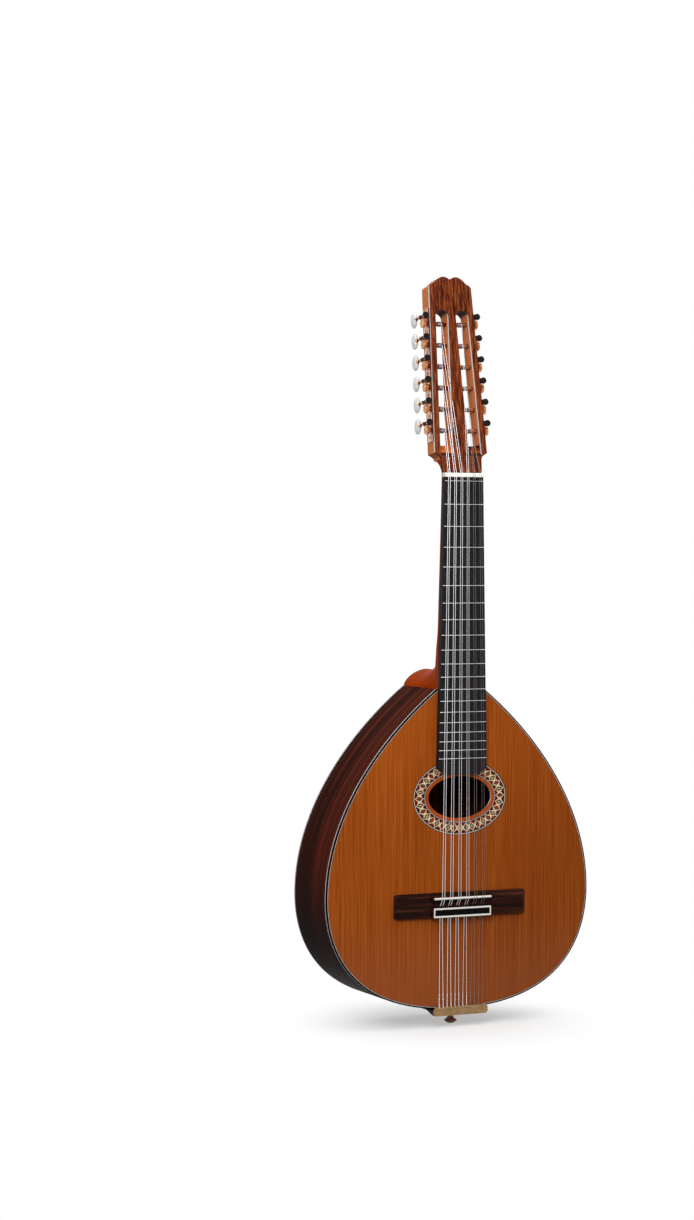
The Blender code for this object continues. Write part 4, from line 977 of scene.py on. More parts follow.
def neck_stations():
    """Front y and z, back y and z, half-width and roundness of each section."""
    stations = []
    for share, roundness in THROAT_SECTIONS:
        t = THROAT_LENGTH * share
        width = between(NUT_WIDTH / 2, THROAT_HALF_WIDTH, share ** 2)
        deep = between(NECK_DEPTH_AT_NUT, HEAD_THICKNESS, share)
        stations.append((*in_head(0, t), *in_head(deep, t), width, roundness))
    nut_back_z = HEAD_Z - NECK_DEPTH_AT_NUT * tan(HEAD_TILT / 2)
    stations.append((0, HEAD_Z, NECK_DEPTH_AT_NUT, nut_back_z, NUT_WIDTH / 2, NUT_END_ROUNDNESS))
    joint = JOINT_Z + SEAM
    spine = joint + HEEL_RISE
    fillet_top = spine + HEEL_FILLET
    for step in range(NECK_STATIONS + 1):
        share = step / NECK_STATIONS
        z = fillet_top * share
        depth = between(NECK_DEPTH_AT_NUT, NECK_DEPTH_AT_HEEL, share)
        roundness = between(NUT_END_ROUNDNESS, HEEL_TOP_ROUNDNESS, share ** 2)
        stations.append((0, z, depth, z, board_half_width(z), roundness))
    for step in range(1, HEEL_TURN_STEPS + 1):
        share = step / HEEL_TURN_STEPS
        down, out = min(2 * share, 1), max(2 * share - 1, 0)
        back_y = NECK_DEPTH_AT_HEEL + HEEL_FILLET * (1 - cos(pi / 2 * share))
        back_z = fillet_top - HEEL_FILLET * sin(pi / 2 * share)
        width = between(board_half_width(joint), HEEL_HALF_WIDTH, out)
        roundness = between(HEEL_TOP_ROUNDNESS, HEEL_FOOT_ROUNDNESS, share ** 3)
        stations.append((out * back_y, between(fillet_top, joint, down), back_y, back_z, width, roundness))
    foot_y = BODY_DEPTH - HEEL_CAP_THICKNESS - SEAM
    for y in ((back_y + foot_y) / 2, foot_y):
        stations.append((y, joint, y, spine, HEEL_HALF_WIDTH, HEEL_FOOT_ROUNDNESS))
    return stations


def neck_section(front_y, front_z, back_y, back_z, half_width, roundness):
    """A D-shaped section with its flat side in front."""
    return [
        (half_width * across, between(front_y, back_y, deep), between(front_z, back_z, deep))
        for across, deep in rounded(roundness)
    ]


sections = [neck_section(*station) for station in smooth_line(neck_stations(), 4)]
piece("neck", loft(sections), cedar_neck, "cedar_neck", covers=["neck"], smooth=55)
cap = [
    (HEEL_HALF_WIDTH * across, JOINT_Z + SEAM + HEEL_RISE * rise)
    for across, rise in rounded(HEEL_FOOT_ROUNDNESS)
]
cap_plate = plate([cap], BODY_DEPTH - HEEL_CAP_THICKNESS, BODY_DEPTH, from_front)
piece("heel_cap", cap_plate, back_rosewood, "rosewood", covers=["heel_cap"], bevel=0.5)
print("neck sections:", len(sections))

# %% [markdown]
# Nineteen frets and a zero fret lie across the fingerboard. Each stands where the string length is divided
# by one more twelfth of an octave. A fret is a wire with a round crown and ends filed at a slant.

# %% The fingerboard and frets
BOARD_THICKNESS = 6.5 * MM
BOARD_FRONT = -0.3 * MM - BOARD_THICKNESS
BOARD_AFTER_LAST_FRET = 8.0 * MM
BOARD_END_BULGE = 12.0 * MM
BOARD_END_ROUNDNESS = 2.5
FRET_COUNT = 19
FRET_HEIGHT = 1.1 * MM
FRET_WIDTH = 0.7 * MM
FRET_WALL = 0.15 * MM
FRET_TANG = 0.5 * MM
FRET_SLANT = 0.8 * MM
FRET_TOP = BOARD_FRONT - FRET_HEIGHT
NUT_BOTTOM_Z = 4.7 * MM
NUT_TOP_Z = NUT_BOTTOM_Z + 5.0 * MM


def fret_z(number):
    """Height of a fret; number 0 is the zero fret."""
    return -SCALE_LENGTH * (1 - 2 ** (-number / 12))


def fret_section(x, z, squeeze):
    """A fret's section: a short wall and a round crown."""
    ring = [(x, BOARD_FRONT + FRET_TANG, z + way * FRET_WIDTH / 2) for way in (1, -1)]
    for step in range(9):
        angle = pi * step / 8
        rise = FRET_WALL + (FRET_HEIGHT - FRET_WALL) * sin(angle) ** 0.8 * squeeze
        ring.append((x, BOARD_FRONT - rise, z - FRET_WIDTH / 2 * cos(angle)))
    return ring


board_top = board_half_width(NUT_BOTTOM_Z)
edge_z = fret_z(FRET_COUNT) - BOARD_AFTER_LAST_FRET
board_outline = [(-board_top, NUT_BOTTOM_Z), (board_top, NUT_BOTTOM_Z)] + [
    (board_half_width(edge_z) * across, edge_z - BOARD_END_BULGE * drop)
    for across, drop in rounded(BOARD_END_ROUNDNESS)
]
fingerboard = plate([board_outline], BOARD_FRONT, 0, from_front)
piece("fingerboard", fingerboard, ebony, "ebony", covers=["fingerboard"], bevel=0.4)
frets = bmesh.new()
for number in range(FRET_COUNT + 1):
    z = fret_z(number)
    half = board_half_width(z) - 0.5 * MM
    crown = half - FRET_SLANT
    ends = ((-half, 0.35), (-crown, 1), (crown, 1), (half, 0.35))
    loft([fret_section(x, z, squeeze) for x, squeeze in ends], frets)
piece("frets", frets, fret_metal, "plain_string", smooth=40)
print("frets:", FRET_COUNT + 1)

# %% [markdown]
# The nut is a block of bone that is highest next to the fingerboard and falls away in a curve toward the
# head. Each string has a round groove of its own width, so the nut is a loft across the strings, with
# extra stations at every groove.

# %% The nut
COURSES = 6
STRINGS = 2 * COURSES
STRING_RADII = [d / 2 * MM for d in (0.76, 0.76, 0.68, 0.68, 0.58, 0.58, 0.5, 0.5, 0.38, 0.38, 0.3, 0.3)]
NUT_SPACING = (8.4, 2.4)
BRIDGE_SPACING = (10.9, 3.2)
NUT_FRONT = FRET_TOP - 0.5 * MM
NUT_PROUD = 0.7 * MM
GROOVE_WIDENING = 1.15
GROOVE_FLOOR = NUT_FRONT - 0.3 * MM


def string_x(index, spacing):
    """Where a string lies across the laud; index 0 is the thickest, and the spacing is in millimetres."""
    course, second = divmod(index, 2)
    pitch, gap = spacing
    return (course - (COURSES - 1) / 2) * pitch * MM + (second - 0.5) * gap * MM


def make_nut():
    """The bone nut with a groove for each string."""
    grooves = [
        (string_x(index, NUT_SPACING), radius * GROOVE_WIDENING) for index, radius in enumerate(STRING_RADII)
    ]
    columns = [-NUT_WIDTH / 2, NUT_WIDTH / 2]
    columns += [x + half * share for x, half in grooves for share in (-1.0, -0.99, -0.7, 0, 0.7, 0.99, 1.0)]
    rings = []
    for x in sorted(columns):
        top = NUT_FRONT - NUT_PROUD
        for middle, half in grooves:
            away = abs(x - middle) / half
            if away < 0.995:
                top = GROOVE_FLOOR - half / GROOVE_WIDENING * (1 - sqrt(max(1 - away * away, 0)))
        ring = [(x, -SEAM, NUT_BOTTOM_Z), (x, top, NUT_BOTTOM_Z)]
        for share in (0.2, 0.4, 0.6, 0.8, 1.0):
            ring.append((x, top + 2.2 * MM * share ** 2.2, between(NUT_BOTTOM_Z, NUT_TOP_Z, share)))
        rings.append(ring + [(x, -SEAM, NUT_TOP_Z)])
    return piece("nut", loft(rings), bone, "bone", covers=["nut"], smooth=30)


nut = make_nut()
print("nut faces:", len(nut.data.polygons))

# %% [markdown]
# The head is a sandwich: a cedar core and, in front of it, a dark line, a white line, another dark line
# and a face of streaked rosewood. Each layer is a plate cut from the same outline with both string slots as
# holes, so the lines show on the head's sides and in the slots as they do on the real one.

# %% The head
VENEER_FRONT = -2.8 * MM
SHOULDER_HEIGHT = 24.0 * MM
SHOULDER_HALF_WIDTH = 34.9 * MM
SIDE_TAPER = radians(1.9)
CREST_CORNER = 225.5 * MM
CREST_HOLLOW = (21.5 * MM, CREST_CORNER + 6.5 * MM)
CREST_PEAK = (8.7 * MM, CREST_CORNER + 14.6 * MM)
CREST_NOTCH = (0, CREST_CORNER + 11.3 * MM)
SLOT_START = 35.0 * MM
SLOT_END = 199.5 * MM
SLOT_WIDTH = 17.5 * MM
SLOT_WALL = 7.0 * MM
RAMP_START = 20.0 * MM
RAMP_DEPTH = 13.0 * MM
head_frame = Matrix.Translation((0, 0, HEAD_Z)) @ Matrix.Rotation(-HEAD_TILT, 4, "X")
machine_frames = {
    hand: head_frame @ Matrix.Translation((hand * SHOULDER_HALF_WIDTH, 0, SHOULDER_HEIGHT))
    @ Matrix.Rotation(-hand * SIDE_TAPER, 4, "Y")
    for hand in (-1, 1)
}


def curve(start, start_pull, end_pull, end, steps):
    """Points of a curve after its start; the pulls are measured from its two ends."""
    ways = ((start, (0, 0)), (start, start_pull), (end, end_pull), (end, (0, 0)))
    corners = [Vector((x + across, z + up)) for (x, z), (across, up) in ways]
    return [tuple(point) for point in interpolate_bezier(*corners, steps + 1)[1:]]


def head_outline(start_t, start_half):
    """The head seen square on: throat, shoulders, tapered sides and a crest of two bumps."""
    flare = SHOULDER_HEIGHT - THROAT_LENGTH
    reach = CREST_PEAK[0] / 2
    throat, shoulder = (THROAT_HALF_WIDTH, THROAT_LENGTH), (SHOULDER_HALF_WIDTH, SHOULDER_HEIGHT)
    corner = (SHOULDER_HALF_WIDTH - (CREST_CORNER - SHOULDER_HEIGHT) * tan(SIDE_TAPER), CREST_CORNER)
    half = [(start_half, start_t)] if start_t < THROAT_LENGTH else []
    half += [throat, *curve(throat, (0, flare * 0.6), (-flare * 0.3, -flare * 0.25), shoulder, 20)]
    half += [corner, *curve(corner, (0, reach * 0.8), (reach, -reach / 2), CREST_HOLLOW, 16)]
    half += curve(CREST_HOLLOW, (-reach * 0.8, reach * 0.9), (reach, 0), CREST_PEAK, 16)
    half += curve(CREST_PEAK, (-reach * 0.8, 0), (reach * 0.5, reach * 0.3), CREST_NOTCH, 12)
    return mirrored(half)


def slot_outline(hand):
    """One string slot in the head's own plane."""
    outer, inner = -hand * SLOT_WALL, -hand * (SLOT_WALL + SLOT_WIDTH)
    radius = SLOT_WIDTH / 2
    points = [(outer, SLOT_START - SHOULDER_HEIGHT), (inner, SLOT_START - SHOULDER_HEIGHT)]
    arch_t = SLOT_END - SHOULDER_HEIGHT - radius
    points += arc((outer + inner) / 2, arch_t, -hand * radius, radius, 0, 180, 32)
    flat = head_frame.inverted() @ machine_frames[hand]
    placed = [flat @ Vector((u, 0, s)) for u, s in points]
    return [(point.x, point.z) for point in placed]


def ramp_tool(hand):
    """The sloping cut that leads the strings into a slot."""
    start, end = RAMP_START - SHOULDER_HEIGHT, SLOT_START - SHOULDER_HEIGHT + 0.3 * MM
    above = -30 * MM
    ramp = [(VENEER_FRONT, start), (VENEER_FRONT + RAMP_DEPTH, end), (above, end), (above, start - 9 * MM)]
    bm = plate([ramp], -hand * SLOT_WALL, -hand * (SLOT_WALL + SLOT_WIDTH), from_side)
    bm.transform(machine_frames[hand])
    return bm


# the white line's crest, arches and ramps get a dark painted shade
head_line = make_veneer(
    "head_line", (255, 253, 251), (250, 246, 242), painted_shade_colour=(64, 26, 14),
    start_z=(HEAD_Z + SHOULDER_HEIGHT) / MM,
)
HEAD_LAYERS = (
    ("head", cedar_head, 1.2, 17.7, "cedar_neck"),
    ("head_dark_line_inner", black_line, 0.9, 1.2, "rosewood_head"),
    ("head_white_line", head_line, -2.1, 0.9, "bone"),
    ("head_dark_line_outer", black_line, -2.4, -2.1, "rosewood_head"),
    ("head_veneer", head_rosewood, -2.8, -2.4, "rosewood_head"),
)
slots = [slot_outline(hand) for hand in (-1, 1)]
for name, finish, low, high, slot in HEAD_LAYERS:
    start = (THROAT_LENGTH, THROAT_HALF_WIDTH) if name == "head" else (0.3 * MM, NUT_WIDTH / 2)
    layer = plate([head_outline(*start)] + slots, low * MM, high * MM, from_front)
    covers = [name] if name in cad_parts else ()
    obj = piece(name, layer, finish, slot, covers=covers, at=head_frame)
    carved(obj, [ramp_tool(hand) for hand in (-1, 1)])
    soften(obj)
print("head layers:", len(HEAD_LAYERS))

# %% [markdown]
# Each tuning machine is a worm drive. A button turns a shaft with a screw thread, the thread pushes the
# teeth of a gear, and the gear turns the post on which the string winds. All six of a side share one long
# plate with a pair of lugs bent out for each shaft. The post with its gear rides on one body and the
# button with its shaft on another, so that they turn as they should.

# %% The tuning machines' plates
MACHINES_PER_SIDE = 6
MACHINES = [
    (hand, number, "{}_{}".format(side, number + 1))
    for hand, side in ((-1, "left"), (1, "right")) for number in range(MACHINES_PER_SIDE)
]
POST_START = 52.6 * MM
POST_PITCH = 26.2 * MM
POST_DEPTH = 6.4 * MM
POST_RADIUS = 2.6 * MM
GEAR_TEETH = 14
GEAR_RADIUS = 5.9 * MM
GEAR_THICKNESS = 3.4 * MM
SHAFT_STANDOFF = 5.6 * MM
WORM_RADIUS = 2.3 * MM
WORM_ABOVE_POST = GEAR_RADIUS + 0.3 * MM + WORM_RADIUS
JOURNAL_RADIUS = 1.5 * MM
PLATE_WIDTH = 13.0 * MM
PLATE_THICKNESS = 1.2 * MM
PLATE_OUTER = 0.3 * MM + PLATE_THICKNESS
PLATE_START = 38.0 * MM
PLATE_END = 201.0 * MM
PLATE_FRONT = POST_DEPTH - PLATE_WIDTH / 2
PLATE_BACK = POST_DEPTH + PLATE_WIDTH / 2
LUG_THICKNESS = 1.4 * MM
LUG_RADIUS = 3.3 * MM
SCREW_ABOVE_MIDDLE = 3.6 * MM


def post_height(number):
    """Height of a post in its machines' frame."""
    return POST_START + number * POST_PITCH - SHOULDER_HEIGHT


def screw_head(bm, matrix, radius):
    """A domed screw head with a slot, about the local Z axis."""
    rings = []
    for out, rise in arc(0, 0, radius, radius / 2, 0, 90, 6):
        ring = []
        for x, y in circle(24, max(out, radius * 0.04)):
            in_slot = abs(x) < radius * 0.17
            ring.append(matrix @ Vector((x, y, min(rise, radius * 0.16) if in_slot else rise)))
        rings.append(ring)
    loft(rings, bm)


def outward(hand, u, n=0.0, t=0.0):
    """A move to a place on the machines' side, with local Z pointing away from the head."""
    return Matrix.Translation((hand * u, n, t)) @ Matrix.Rotation(hand * pi / 2, 4, "Y")


def make_plate(name, hand):
    """The long side plate with its lugs and screws."""
    at = machine_frames[hand]
    low, high = PLATE_START - SHOULDER_HEIGHT, PLATE_END - SHOULDER_HEIGHT
    strip = [(PLATE_FRONT, low), (PLATE_BACK, low), (PLATE_BACK, high), (PLATE_FRONT, high)]
    bm = plate([strip], hand * 0.05 * MM, hand * PLATE_OUTER, from_side)
    obj = piece(name, bm, plate_brass, "brass", covers=[name], at=at)
    lugs, holes, screws = bmesh.new(), bmesh.new(), bmesh.new()
    for number in range(MACHINES_PER_SIDE):
        worm_t = post_height(number) + WORM_ABOVE_POST
        root, axle = hand * PLATE_OUTER / 2, hand * SHAFT_STANDOFF
        tab = [(root, worm_t - LUG_RADIUS), (root, worm_t + LUG_RADIUS)]
        tab += arc(axle, worm_t, hand * LUG_RADIUS, LUG_RADIUS, 90, -90, 16)
        hole = circle(24, JOURNAL_RADIUS + 0.15 * MM, x=axle, y=worm_t)
        plate([tab, hole], PLATE_FRONT, PLATE_FRONT + LUG_THICKNESS, from_front, lugs)
        plate([tab, hole], PLATE_BACK - LUG_THICKNESS, PLATE_BACK, from_front, lugs)
        bore = circle(24, POST_RADIUS + 0.2 * MM, x=POST_DEPTH, y=post_height(number))
        plate([bore], -hand * 2 * MM, hand * 4 * MM, from_side, holes)
    for bm in (lugs, holes):
        bm.transform(at)
    carved(obj, [holes])
    carved(obj, [lugs], "UNION")
    soften(obj, bevel=0.2, bevel_from=50)
    for number in range(MACHINES_PER_SIDE + 1):
        t = post_height(number) - POST_PITCH / 2 + SCREW_ABOVE_MIDDLE
        screw_head(screws, outward(hand, PLATE_OUTER - 0.05 * MM, POST_DEPTH, t), 2.1 * MM)
    piece(name + "_screws", screws, gilt, "gilt", at=at)


make_plate("tuner_plate_left", -1)
make_plate("tuner_plate_right", 1)
print("plates: 2, screws:", 2 * (MACHINES_PER_SIDE + 1))

# %% [markdown]
# A gear is drawn tooth by tooth as a flat outline and given thickness. The thread of the worm is a bar
# whose radius rises and falls round a helix, one turn for each tooth of the gear. The string's turns on the
# post are a tight coil of wire.

# %% The posts, gears and windings
WOUND_STRINGS = 8
WINDING_FROM_EDGE = (6.6 * MM, 8.5 * MM)
WINDING_LENGTH = 5.0 * MM
WINDING_PITCH = 2.04
COIL_STEPS = 20
GEAR_ROOT = GEAR_RADIUS - 1.25 * MM
GEAR_FLANK = GEAR_ROOT + 0.35 * MM
TOOTH = (
    (-0.36, GEAR_ROOT), (-0.27, GEAR_FLANK), (-0.14, GEAR_RADIUS), (0.14, GEAR_RADIUS), (0.27, GEAR_FLANK),
    (0.36, GEAR_ROOT),
)


def winding_from_side(hand, number):
    """How far inside the head's side a string winds: near the left edge of either slot."""
    from_edge = between(*WINDING_FROM_EDGE, number / (MACHINES_PER_SIDE - 1))
    return SLOT_WALL + (from_edge if hand < 0 else SLOT_WIDTH - from_edge)


def winding_turns(radius):
    """How many turns of a string fit in the winding."""
    return int(WINDING_LENGTH / (WINDING_PITCH * radius))


def gear_outline():
    """Fourteen teeth with flat tips and slanted flanks."""
    places = [
        (2 * pi * (tooth + share) / GEAR_TEETH, radius)
        for tooth in range(GEAR_TEETH) for share, radius in TOOTH
    ]
    return [(radius * cos(angle), radius * sin(angle)) for angle, radius in places]


def make_post(hand, number, place_name):
    """A post with its gear, the gear's screw and the string's turns."""
    name = "string_post_" + place_name
    at = machine_frames[hand] @ Matrix.Translation((0, POST_DEPTH, post_height(number)))
    string = number if hand < 0 else STRINGS - 1 - number
    radius = STRING_RADII[string]

    def along_x(a, b, u):
        return (hand * u, a, b)

    inner = -(SLOT_WALL + SLOT_WIDTH + 3.0 * MM)
    gear_in, gear_out = SHAFT_STANDOFF - GEAR_THICKNESS / 2, SHAFT_STANDOFF + GEAR_THICKNESS / 2
    stations = [
        (inner, POST_RADIUS - 0.3 * MM), (inner + 0.3 * MM, POST_RADIUS), (gear_in - 0.6 * MM, POST_RADIUS),
        (gear_in - 0.5 * MM, POST_RADIUS + 0.7 * MM), (gear_in, POST_RADIUS + 0.7 * MM),
    ]
    piece(name, turned(stations, 32, along_x), post_gilt, "gilt", name, [name], at, smooth=50)
    gear = plate([gear_outline()], gear_in, gear_out, along_x)
    piece(name + "_gear", gear, gilt, "gilt", name, at=at, bevel=0.18)
    rim = [(gear_out + along * MM, radius * MM) for along, radius in ((-0.2, 3.0), (0.2, 3.0), (0.3, 2.7))]
    hub = turned(rim, 28, along_x)
    screw_head(hub, outward(hand, gear_out + 0.2 * MM), 2.3 * MM)
    piece(name + "_screw", hub, gilt, "gilt", name, at=at, smooth=40)
    coil, points = bmesh.new(), []
    turns, reach = winding_turns(radius), POST_RADIUS + radius
    for step in range(turns * COIL_STEPS + 1):
        angle = 2 * pi * step / COIL_STEPS
        shift = (step / COIL_STEPS - turns / 2) * WINDING_PITCH * radius
        along = -winding_from_side(hand, number) - hand * shift
        points.append(Vector(along_x(-reach * cos(angle), reach * sin(angle), along)))
    tube(coil, points, radius, 8)
    wound = string < WOUND_STRINGS
    finish, slot = (silver_wire, "wound_string") if wound else (plain_wire, "plain_string")
    piece(name + "_winding", coil, finish, slot, name, at=at, smooth=60)


for machine in MACHINES:
    make_post(*machine)
print("posts:", len(MACHINES))

# %% [markdown]
# The worm shafts run square to the head's face. In front of the plate each ends in a small black knob,
# and behind it come a collar, the shaft and the oval pearl button.

# %% The worms and buttons
BUTTON_START = HEAD_THICKNESS + 7.0 * MM
BUTTON_LENGTH = 11.5 * MM
BUTTON_HALF_HEIGHT = 9.7 * MM
BUTTON_HALF_THICKNESS = 3.1 * MM
KNOB_START = PLATE_FRONT - 0.3 * MM
KNOB_RADIUS = 3.9 * MM
COLLAR_START = PLATE_BACK + 0.3 * MM
SHAFT_RADIUS = JOURNAL_RADIUS - 0.1 * MM
WORM_STEPS, WORM_SIDES = 60, 28
BUTTON_PROFILE = (
    (0.0, 0.3, 0.5), (0.02, 0.5, 0.62), (0.06, 0.68, 0.74), (0.2, 0.88, 0.9), (0.4, 1.0, 1.0),
    (0.62, 0.99, 0.99), (0.8, 0.9, 0.92), (0.92, 0.7, 0.75), (0.98, 0.48, 0.5), (1.0, 0.25, 0.25),
)
BUTTON = [
    (BUTTON_START + BUTTON_LENGTH * share, BUTTON_HALF_THICKNESS * thick, BUTTON_HALF_HEIGHT * high)
    for share, high, thick in smooth_line(BUTTON_PROFILE, 3)
]
TURNED_PARTS = (
    ("_shaft", dark_steel, (
        (KNOB_START - 0.5 * MM, SHAFT_RADIUS), (COLLAR_START + 5 * MM, SHAFT_RADIUS),
        (COLLAR_START + 6 * MM, SHAFT_RADIUS * 0.9), (BUTTON_START + 3 * MM, SHAFT_RADIUS * 0.9),
    )),
    ("_knob", knob_black, (
        (KNOB_START, KNOB_RADIUS * 0.94), (KNOB_START - 0.2 * MM, KNOB_RADIUS),
        (KNOB_START - 1.5 * MM, KNOB_RADIUS), (KNOB_START - 1.8 * MM, KNOB_RADIUS * 0.94),
        (KNOB_START - 1.9 * MM, KNOB_RADIUS * 0.8),
    )),
    ("_collar", gilt, (
        (COLLAR_START, 2.1 * MM), (COLLAR_START + 0.2 * MM, 2.5 * MM),
        (COLLAR_START + 1.3 * MM, 2.5 * MM), (COLLAR_START + 1.6 * MM, 2.2 * MM),
    )),
    ("_ferrule", gilt, (
        (BUTTON_START - 1.6 * MM, 1.7 * MM), (BUTTON_START - 1.2 * MM, 2.2 * MM),
        (BUTTON_START + 0.3 * MM, 2.4 * MM),
    )),
)


def along_shaft(a, b, n):
    """A point of a machine's shaft, n behind the head's front plane."""
    return (a, n, b)


def worm_thread(start, end):
    """A bar with a helical thread."""
    pitch = 2 * pi * (GEAR_RADIUS - 0.6 * MM) / GEAR_TEETH
    rings = []
    for step in range(WORM_STEPS + 1):
        along = between(start, end, step / WORM_STEPS)
        fade = min(step, WORM_STEPS - step, 4) / 4
        ring = []
        for side in range(WORM_SIDES):
            angle = 2 * pi * side / WORM_SIDES
            wave = 0.5 + 0.5 * cos(angle - 2 * pi * along / pitch)
            radius = WORM_RADIUS - 0.75 * MM + 0.8 * MM * fade * wave ** 0.7
            ring.append(along_shaft(radius * cos(angle), radius * sin(angle), along))
        rings.append(ring)
    return loft(rings)


def make_worm(hand, number, place_name):
    """A worm shaft with its knob, collar and button."""
    name = "tuning_button_" + place_name
    place = (hand * SHAFT_STANDOFF, 0, post_height(number) + WORM_ABOVE_POST)
    at = machine_frames[hand] @ Matrix.Translation(place)
    piece(name, turned(BUTTON, 40, along_shaft), pearl, "pearloid", name, [name], at, smooth=70)
    thread = worm_thread(PLATE_FRONT + LUG_THICKNESS + 0.3 * MM, PLATE_BACK - LUG_THICKNESS - 0.3 * MM)
    piece(name + "_worm", thread, dark_steel, "pearloid", name, at=at, smooth=70)
    for suffix, finish, stations in TURNED_PARTS:
        part = turned(stations, 28, along_shaft)
        piece(name + suffix, part, finish, "pearloid", name, at=at, smooth=50)


for machine in MACHINES:
    make_worm(*machine)
print("buttons:", len(MACHINES))

# %% [markdown]
# The bridge is low, with thin wings to both sides of a thicker block. The block carries the saddle in a
# slot, then a valley, then the drilled block that each string passes through, with a light frame on top.

# %% The bridge
SADDLE_Z = -SCALE_LENGTH - 1.0 * MM
SADDLE_FRONT = FRET_TOP - 3.6 * MM
SADDLE_THICKNESS = 2.4 * MM
BRIDGE_TOP_Z = SADDLE_Z + 6.5 * MM
BRIDGE_BOTTOM_Z = BRIDGE_TOP_Z - 30.0 * MM
BRIDGE_HALF = 88.0 * MM
BLOCK_HALF = 40.0 * MM
WING_FRONT = -0.05 * MM - 4.0 * MM
WING_SLOPE = 1.2 * MM
WING_END = ((-1.0, 0.45), (-0.99, 0.72), (-0.97, 0.9), (-0.93, 1))
BLOCK = 8.0 * MM
VALLEY = 3.6 * MM
BLOCK_FRONT = -0.3 * MM - BLOCK
VALLEY_FRONT = -0.3 * MM - VALLEY
TIE_BLOCK_TOP_Z = BRIDGE_BOTTOM_Z + 13.0 * MM
SADDLE_SLOT_BACK = BLOCK_FRONT + 4.0 * MM
SADDLE_SLOT_HALF = 38.2 * MM
HOLE_DEPTH = -5.4 * MM
HOLE_RADIUS = 1.1 * MM


def wing_section(x, share):
    """A section of the wings with chamfered front edges, smaller toward their ends."""
    front = WING_FRONT * share
    inward = (1 - share) * 3 * MM
    top, bottom = BRIDGE_TOP_Z - inward, BRIDGE_BOTTOM_Z + inward
    chamfer = ((WING_SLOPE, 0), (WING_SLOPE * 0.3, WING_SLOPE * 0.35), (0, WING_SLOPE))
    lower = [(front + deep, bottom + up) for deep, up in chamfer]
    upper = [(front + deep, top - down) for deep, down in reversed(chamfer)]
    return [(x * BRIDGE_HALF, y, z) for y, z in [(0, top), (0, bottom)] + lower + upper]


def make_bridge():
    """Wings and block in one, with saddle slot and string holes."""
    ends = WING_END + tuple((-x, share) for x, share in reversed(WING_END))
    obj = piece(
        "bridge", loft([wing_section(*end) for end in ends]), bridge_rosewood, "rosewood", covers=["bridge"]
    )
    behind_saddle = SADDLE_Z - SADDLE_THICKNESS * 1.5
    top, bottom = BRIDGE_TOP_Z - 0.3 * MM, BRIDGE_BOTTOM_Z + 0.3 * MM
    block = [
        (-0.2 * MM, top), (-0.2 * MM, bottom), (BLOCK_FRONT, bottom), (BLOCK_FRONT, TIE_BLOCK_TOP_Z),
        (VALLEY_FRONT, TIE_BLOCK_TOP_Z), (VALLEY_FRONT, behind_saddle - (BLOCK - VALLEY) / 2),
        (BLOCK_FRONT, behind_saddle), (BLOCK_FRONT, SADDLE_Z + SADDLE_THICKNESS),
    ]
    carved(obj, [plate([block], -BLOCK_HALF, BLOCK_HALF, from_side)], "UNION")
    half = SADDLE_THICKNESS / 2 + 0.1 * MM
    low, high = SADDLE_Z - half, SADDLE_Z + half
    above = 2 * BLOCK_FRONT
    slot = [(SADDLE_SLOT_BACK, low), (SADDLE_SLOT_BACK, high), (above, high), (above, low)]
    holes = bmesh.new()
    for index in range(STRINGS):
        hole = circle(20, HOLE_RADIUS, x=string_x(index, BRIDGE_SPACING), y=HOLE_DEPTH)
        plate([hole], BRIDGE_BOTTOM_Z - 4 * MM, TIE_BLOCK_TOP_Z + 2 * MM, from_end, holes)
    carved(obj, [plate([slot], -SADDLE_SLOT_HALF, SADDLE_SLOT_HALF, from_side), holes])
    soften(obj, bevel=0.3, bevel_from=40)


make_bridge()
print("bridge: {:.0f} mm wide".format(2 * BRIDGE_HALF / MM))

# %% [markdown]
# The saddle is a bone strip with a rounded top that stands loose in its slot. The tie block wears a light
# frame round a black panel set a little back inside it.

# %% The saddle and the tie block's frame
FRAME_OUTSIDE = (38.5 * MM, 5.8 * MM)
FRAME_INSIDE = (36.8 * MM, 3.6 * MM)
tie_middle = (BRIDGE_BOTTOM_Z + TIE_BLOCK_TOP_Z) / 2


def rectangle(half_width, half_height):
    """A rectangle about the middle of the tie block."""
    low, high = tie_middle - half_height, tie_middle + half_height
    return [(-half_width, low), (-half_width, high), (half_width, high), (half_width, low)]


saddle_section = [(SADDLE_SLOT_BACK, SADDLE_Z - 1.2 * MM), (SADDLE_SLOT_BACK, SADDLE_Z + 1.2 * MM)]
saddle_section += arc(SADDLE_FRONT + 0.9 * MM, SADDLE_Z, 0.9 * MM, SADDLE_THICKNESS / 2, 90, 270, 8)
saddle = plate([saddle_section], -38 * MM, 38 * MM, from_side)
piece("saddle", saddle, bone, "bone", covers=["saddle"], bevel=0.25)
tie_frame = plate(
    [rectangle(*FRAME_OUTSIDE), rectangle(*FRAME_INSIDE)], BLOCK_FRONT - 1.3 * MM, BLOCK_FRONT, from_front
)
piece("tie_block_frame", tie_frame, bone, "bone", covers=["tie_block_frame"], bevel=0.4, segments=3)
tie_panel = plate([rectangle(*FRAME_INSIDE)], BLOCK_FRONT - 0.7 * MM, BLOCK_FRONT, from_front)
piece("tie_block_panel", tie_panel, black_line, "rosewood")
print("saddle section points:", len(saddle_section))

# %% [markdown]
# The tailpiece is a folded brass sheet over the tail edge. Each string ends in a loop twisted round itself,
# which hooks behind the sheet's front edge. The turned end pin holds the sheet on.

